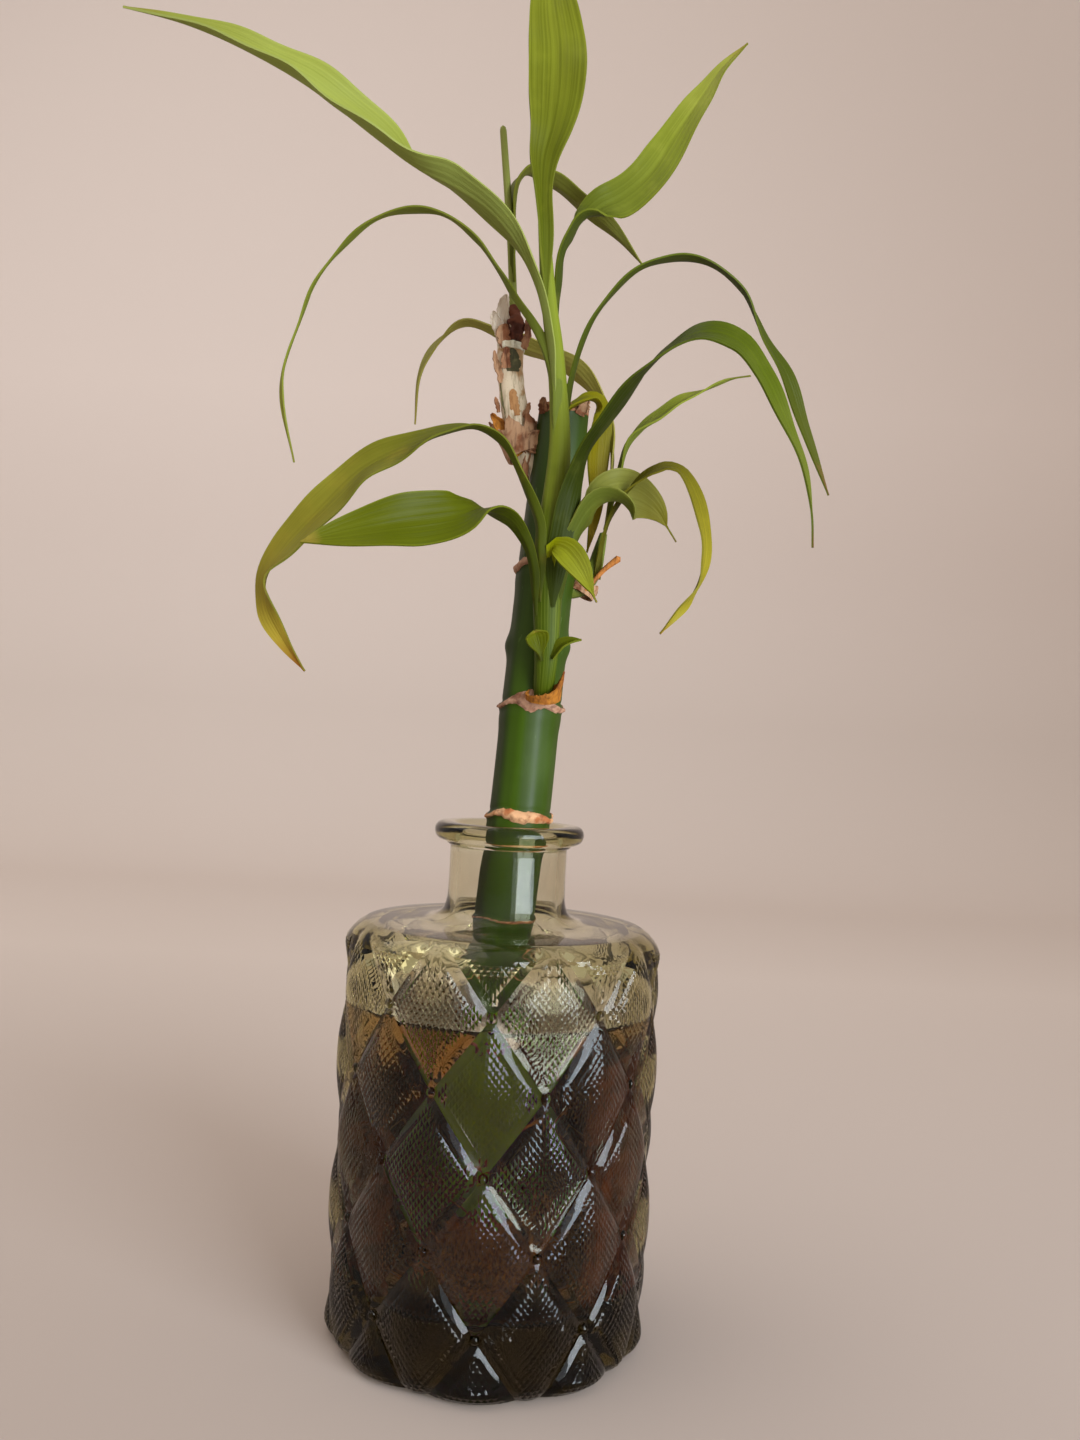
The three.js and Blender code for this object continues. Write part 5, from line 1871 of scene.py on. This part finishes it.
RING_CRUST = DryFinish("ring_crust", (192, 146, 106), (158, 94, 54), (96, 54, 32), 0.6,
                       (160.0, 160.0, 160.0))
RING_DULL = DryFinish("ring_dull", (168, 128, 102), (132, 88, 64), (74, 44, 32), 0.45,
                      (160.0, 160.0, 160.0))

RING_SCARS = (
    RingScar("ring_scar_low", 112.3, (-178, -4), (-0.1, -0.2, -0.7, -1.3, -1.4, -1.2, -0.7, -0.4),
             (0.3, 0.3, 0.7, 1.2, 1.1, 0.9, 0.6, 0.2), RING_CRUST),
    RingScar("ring_scar_low_back", 112.3, (6, 170), (-0.3, -1.0, -1.2, -0.6, -0.3), (0.3, 0.8, 1.1,
             0.7, 0.3), RING_CRUST),
    RingScar("ring_scar_middle", 137, (-184, 4), (-0.1, -0.2, -0.4, -0.6, -1.9, -0.8, -1.3, -0.7,
             -0.3), (0.3, 0.4, 0.7, 2.0, 3.2, 1.0, 0.4, 0.4, 0.3), RING_DULL),
    RingScar("ring_scar_middle_back", 137, (12, 168), (-0.3, -1.3, -0.8, -1.5, -0.3), (0.3, 1.4,
             0.7, 1.8, 0.3), RING_DULL),
    RingScar("ring_scar_high_left", 168.5, (-196, -122), (-0.4, -1.2, -0.9, -0.5), (0.5, 1.3, 1.6,
             0.4), RING_DULL),
    RingScar("ring_scar_high_right", 168.5, (-52, -6), (-0.4, -1.0, -0.8, -0.3), (0.4, 0.9, 1.2,
             0.3), RING_CRUST),
)


# The stage, the lights and the camera


@dataclass(frozen=True)
class Camera:
    """A near and level view of the plant, tilted a little."""

    place: Point = (0.0054, -0.2677, 0.1288)
    pitch: float = 1.07
    roll: float = 3.05
    lens: float = 30.15
    sensor: float = 36.0
    nearest: float = 0.01

    def build(self) -> None:
        """Adds the camera and makes it the scene's own."""
        data = bpy.data.cameras.new("view")
        data.lens = self.lens
        data.sensor_width = self.sensor
        data.clip_start = self.nearest
        camera = bpy.data.objects.new("view", data)
        bpy.context.scene.collection.objects.link(camera)
        level = Matrix.Rotation(math.radians(90 + self.pitch), 4, "X")
        tilt = Matrix.Rotation(math.radians(self.roll), 4, "Z")
        camera.matrix_world = Matrix.Translation(self.place) @ level @ tilt
        bpy.context.scene.camera = camera


@dataclass(frozen=True)
class Window:
    """A broad soft light, aimed at the plant."""

    name: str
    place: Point
    size: tuple[float, float]
    power: float
    colour: Rgb
    spread: float = 180.0
    aim: Point = (0.0, 0.0, 0.17)

    def build(self) -> None:
        """Adds the light."""
        data = bpy.data.lights.new(self.name, "AREA")
        data.shape = "RECTANGLE"
        data.size, data.size_y = self.size
        data.energy = self.power
        data.color = self.colour
        data.spread = math.radians(self.spread)
        lamp = bpy.data.objects.new(self.name, data)
        bpy.context.scene.collection.objects.link(lamp)
        lamp.location = self.place
        facing = Vector(self.place) - Vector(self.aim)
        lamp.rotation_euler = facing.to_track_quat("Z", "Y").to_euler()


@dataclass(frozen=True)
class Stage:
    """The floor that curves up into a backdrop, and the light of the room.

    The floor and the backdrop are measured in metres. The painted light and shade are their colours
    from the near edge of the floor to the top of the backdrop: painted shade darkens the near floor
    and painted light brightens the backdrop towards its top. room_light is the room's at eye level
    and overhead.
    """

    painted_light_and_shade: tuple[tuple[float, Rgb], ...] = ((0.0, (172, 158, 149)), (0.26, (212, 200, 192)),
                                             (0.65, (214, 202, 194)), (0.86, (236, 224, 217)))
    near: float = -1.2
    depth: float = 0.75
    half_width: float = 1.6
    bend: float = 0.35
    height: float = 1.5
    room_light: tuple[float, float] = (0.61, 0.8)
    room_heights: tuple[float, float] = (0.05, 0.6)
    room_colour: Rgb = (236, 226, 218)
    windows: tuple[Window, ...] = (
        Window("window_bright", (0.37, -0.48, 0.208), (0.36, 0.394), 2.2, (0.84, 0.92, 1.0), 100.0),
        Window("window_dim", (0.22, -0.6, 0.235), (0.2, 0.45), 0.6, (0.84, 0.92, 1.0)),
        Window("ceiling", (-0.7, 0.0, 1.2), (1.2, 1.2), 5.0, (1.0, 0.96, 0.92)),
    )

    def form(self, across: np.ndarray, along: np.ndarray) -> np.ndarray:
        """Gives the floor and backdrop as one sheet.

        Args:
            across: Shares across the grid.
            along: Shares along it.

        Returns:
            The points, in millimetres.
        """
        near, back, bend, height = (
            size / MM for size in (self.near, self.depth, self.bend, self.height))
        flat, arc, wall = back - near, bend * math.pi / 2, height - bend
        run = along * (flat + arc + wall)
        turn = np.clip((run - flat) / bend, 0, math.pi / 2)
        y = near + np.minimum(run, flat) + bend * np.sin(turn)
        z = bend * (1 - np.cos(turn)) + np.maximum(run - flat - arc, 0)
        return stack((across - 0.5) * 2 * self.half_width / MM, y, z)

    def light_room(self) -> None:
        """Adds the light of the room, dim at eye level and bright overhead."""
        world = bpy.data.worlds.new("room")
        world.use_nodes = True
        nodes, links = world.node_tree.nodes, world.node_tree.links
        glow = nodes["Background"]
        glow.inputs[0].default_value = srgb(*self.room_colour)
        split = nodes.new("ShaderNodeSeparateXYZ")
        links.new(nodes.new("ShaderNodeTexCoord").outputs["Generated"], split.inputs[0])
        lift = nodes.new("ShaderNodeMapRange")
        lift.interpolation_type = "SMOOTHSTEP"
        names = ("From Min", "From Max", "To Min", "To Max")
        for name, value in zip(names, (*self.room_heights, *self.room_light)):
            lift.inputs[name].default_value = value
        links.new(split.outputs["Z"], lift.inputs["Value"])
        links.new(lift.outputs["Result"], glow.inputs["Strength"])
        bpy.context.scene.world = world

    def build(self) -> None:
        """Builds the stage, the room's light and the windows."""
        shader = Shader("backdrop_painted_shade")
        _, depth, height = shader.axes("Object")
        # Painted shade and light: the colour runs from dark on the near floor to light high on the
        # backdrop.
        run = shader.calc("MULTIPLY_ADD", shader.calc("ADD", depth, height), 0.5, 0.05)
        material = shader.skin(shader.ramp(run, self.painted_light_and_shade), 0.9, 0.1)
        complete(lay_grid("backdrop", 4, 96), self.form, material, crisp=60.0)
        self.light_room()
        for window in self.windows:
            window.build()
        bpy.context.scene.view_settings.view_transform = "Standard"


def main() -> None:
    """Builds the camera, the stage and each piece."""
    logging.basicConfig(level=logging.INFO, format="%(message)s")
    Camera().build()
    Stage().build()
    bottle = Bottle()
    bottle.build()
    Water(bottle).build()
    cane = Cane()
    cane.build()
    for scar in RING_SCARS:
        scar.build(cane)
    Roots().build()
    for piece in (*STEMS, *CUPS, *FLAPS, *LEAVES):
        piece.build()


if __name__ == "__main__":
    main()
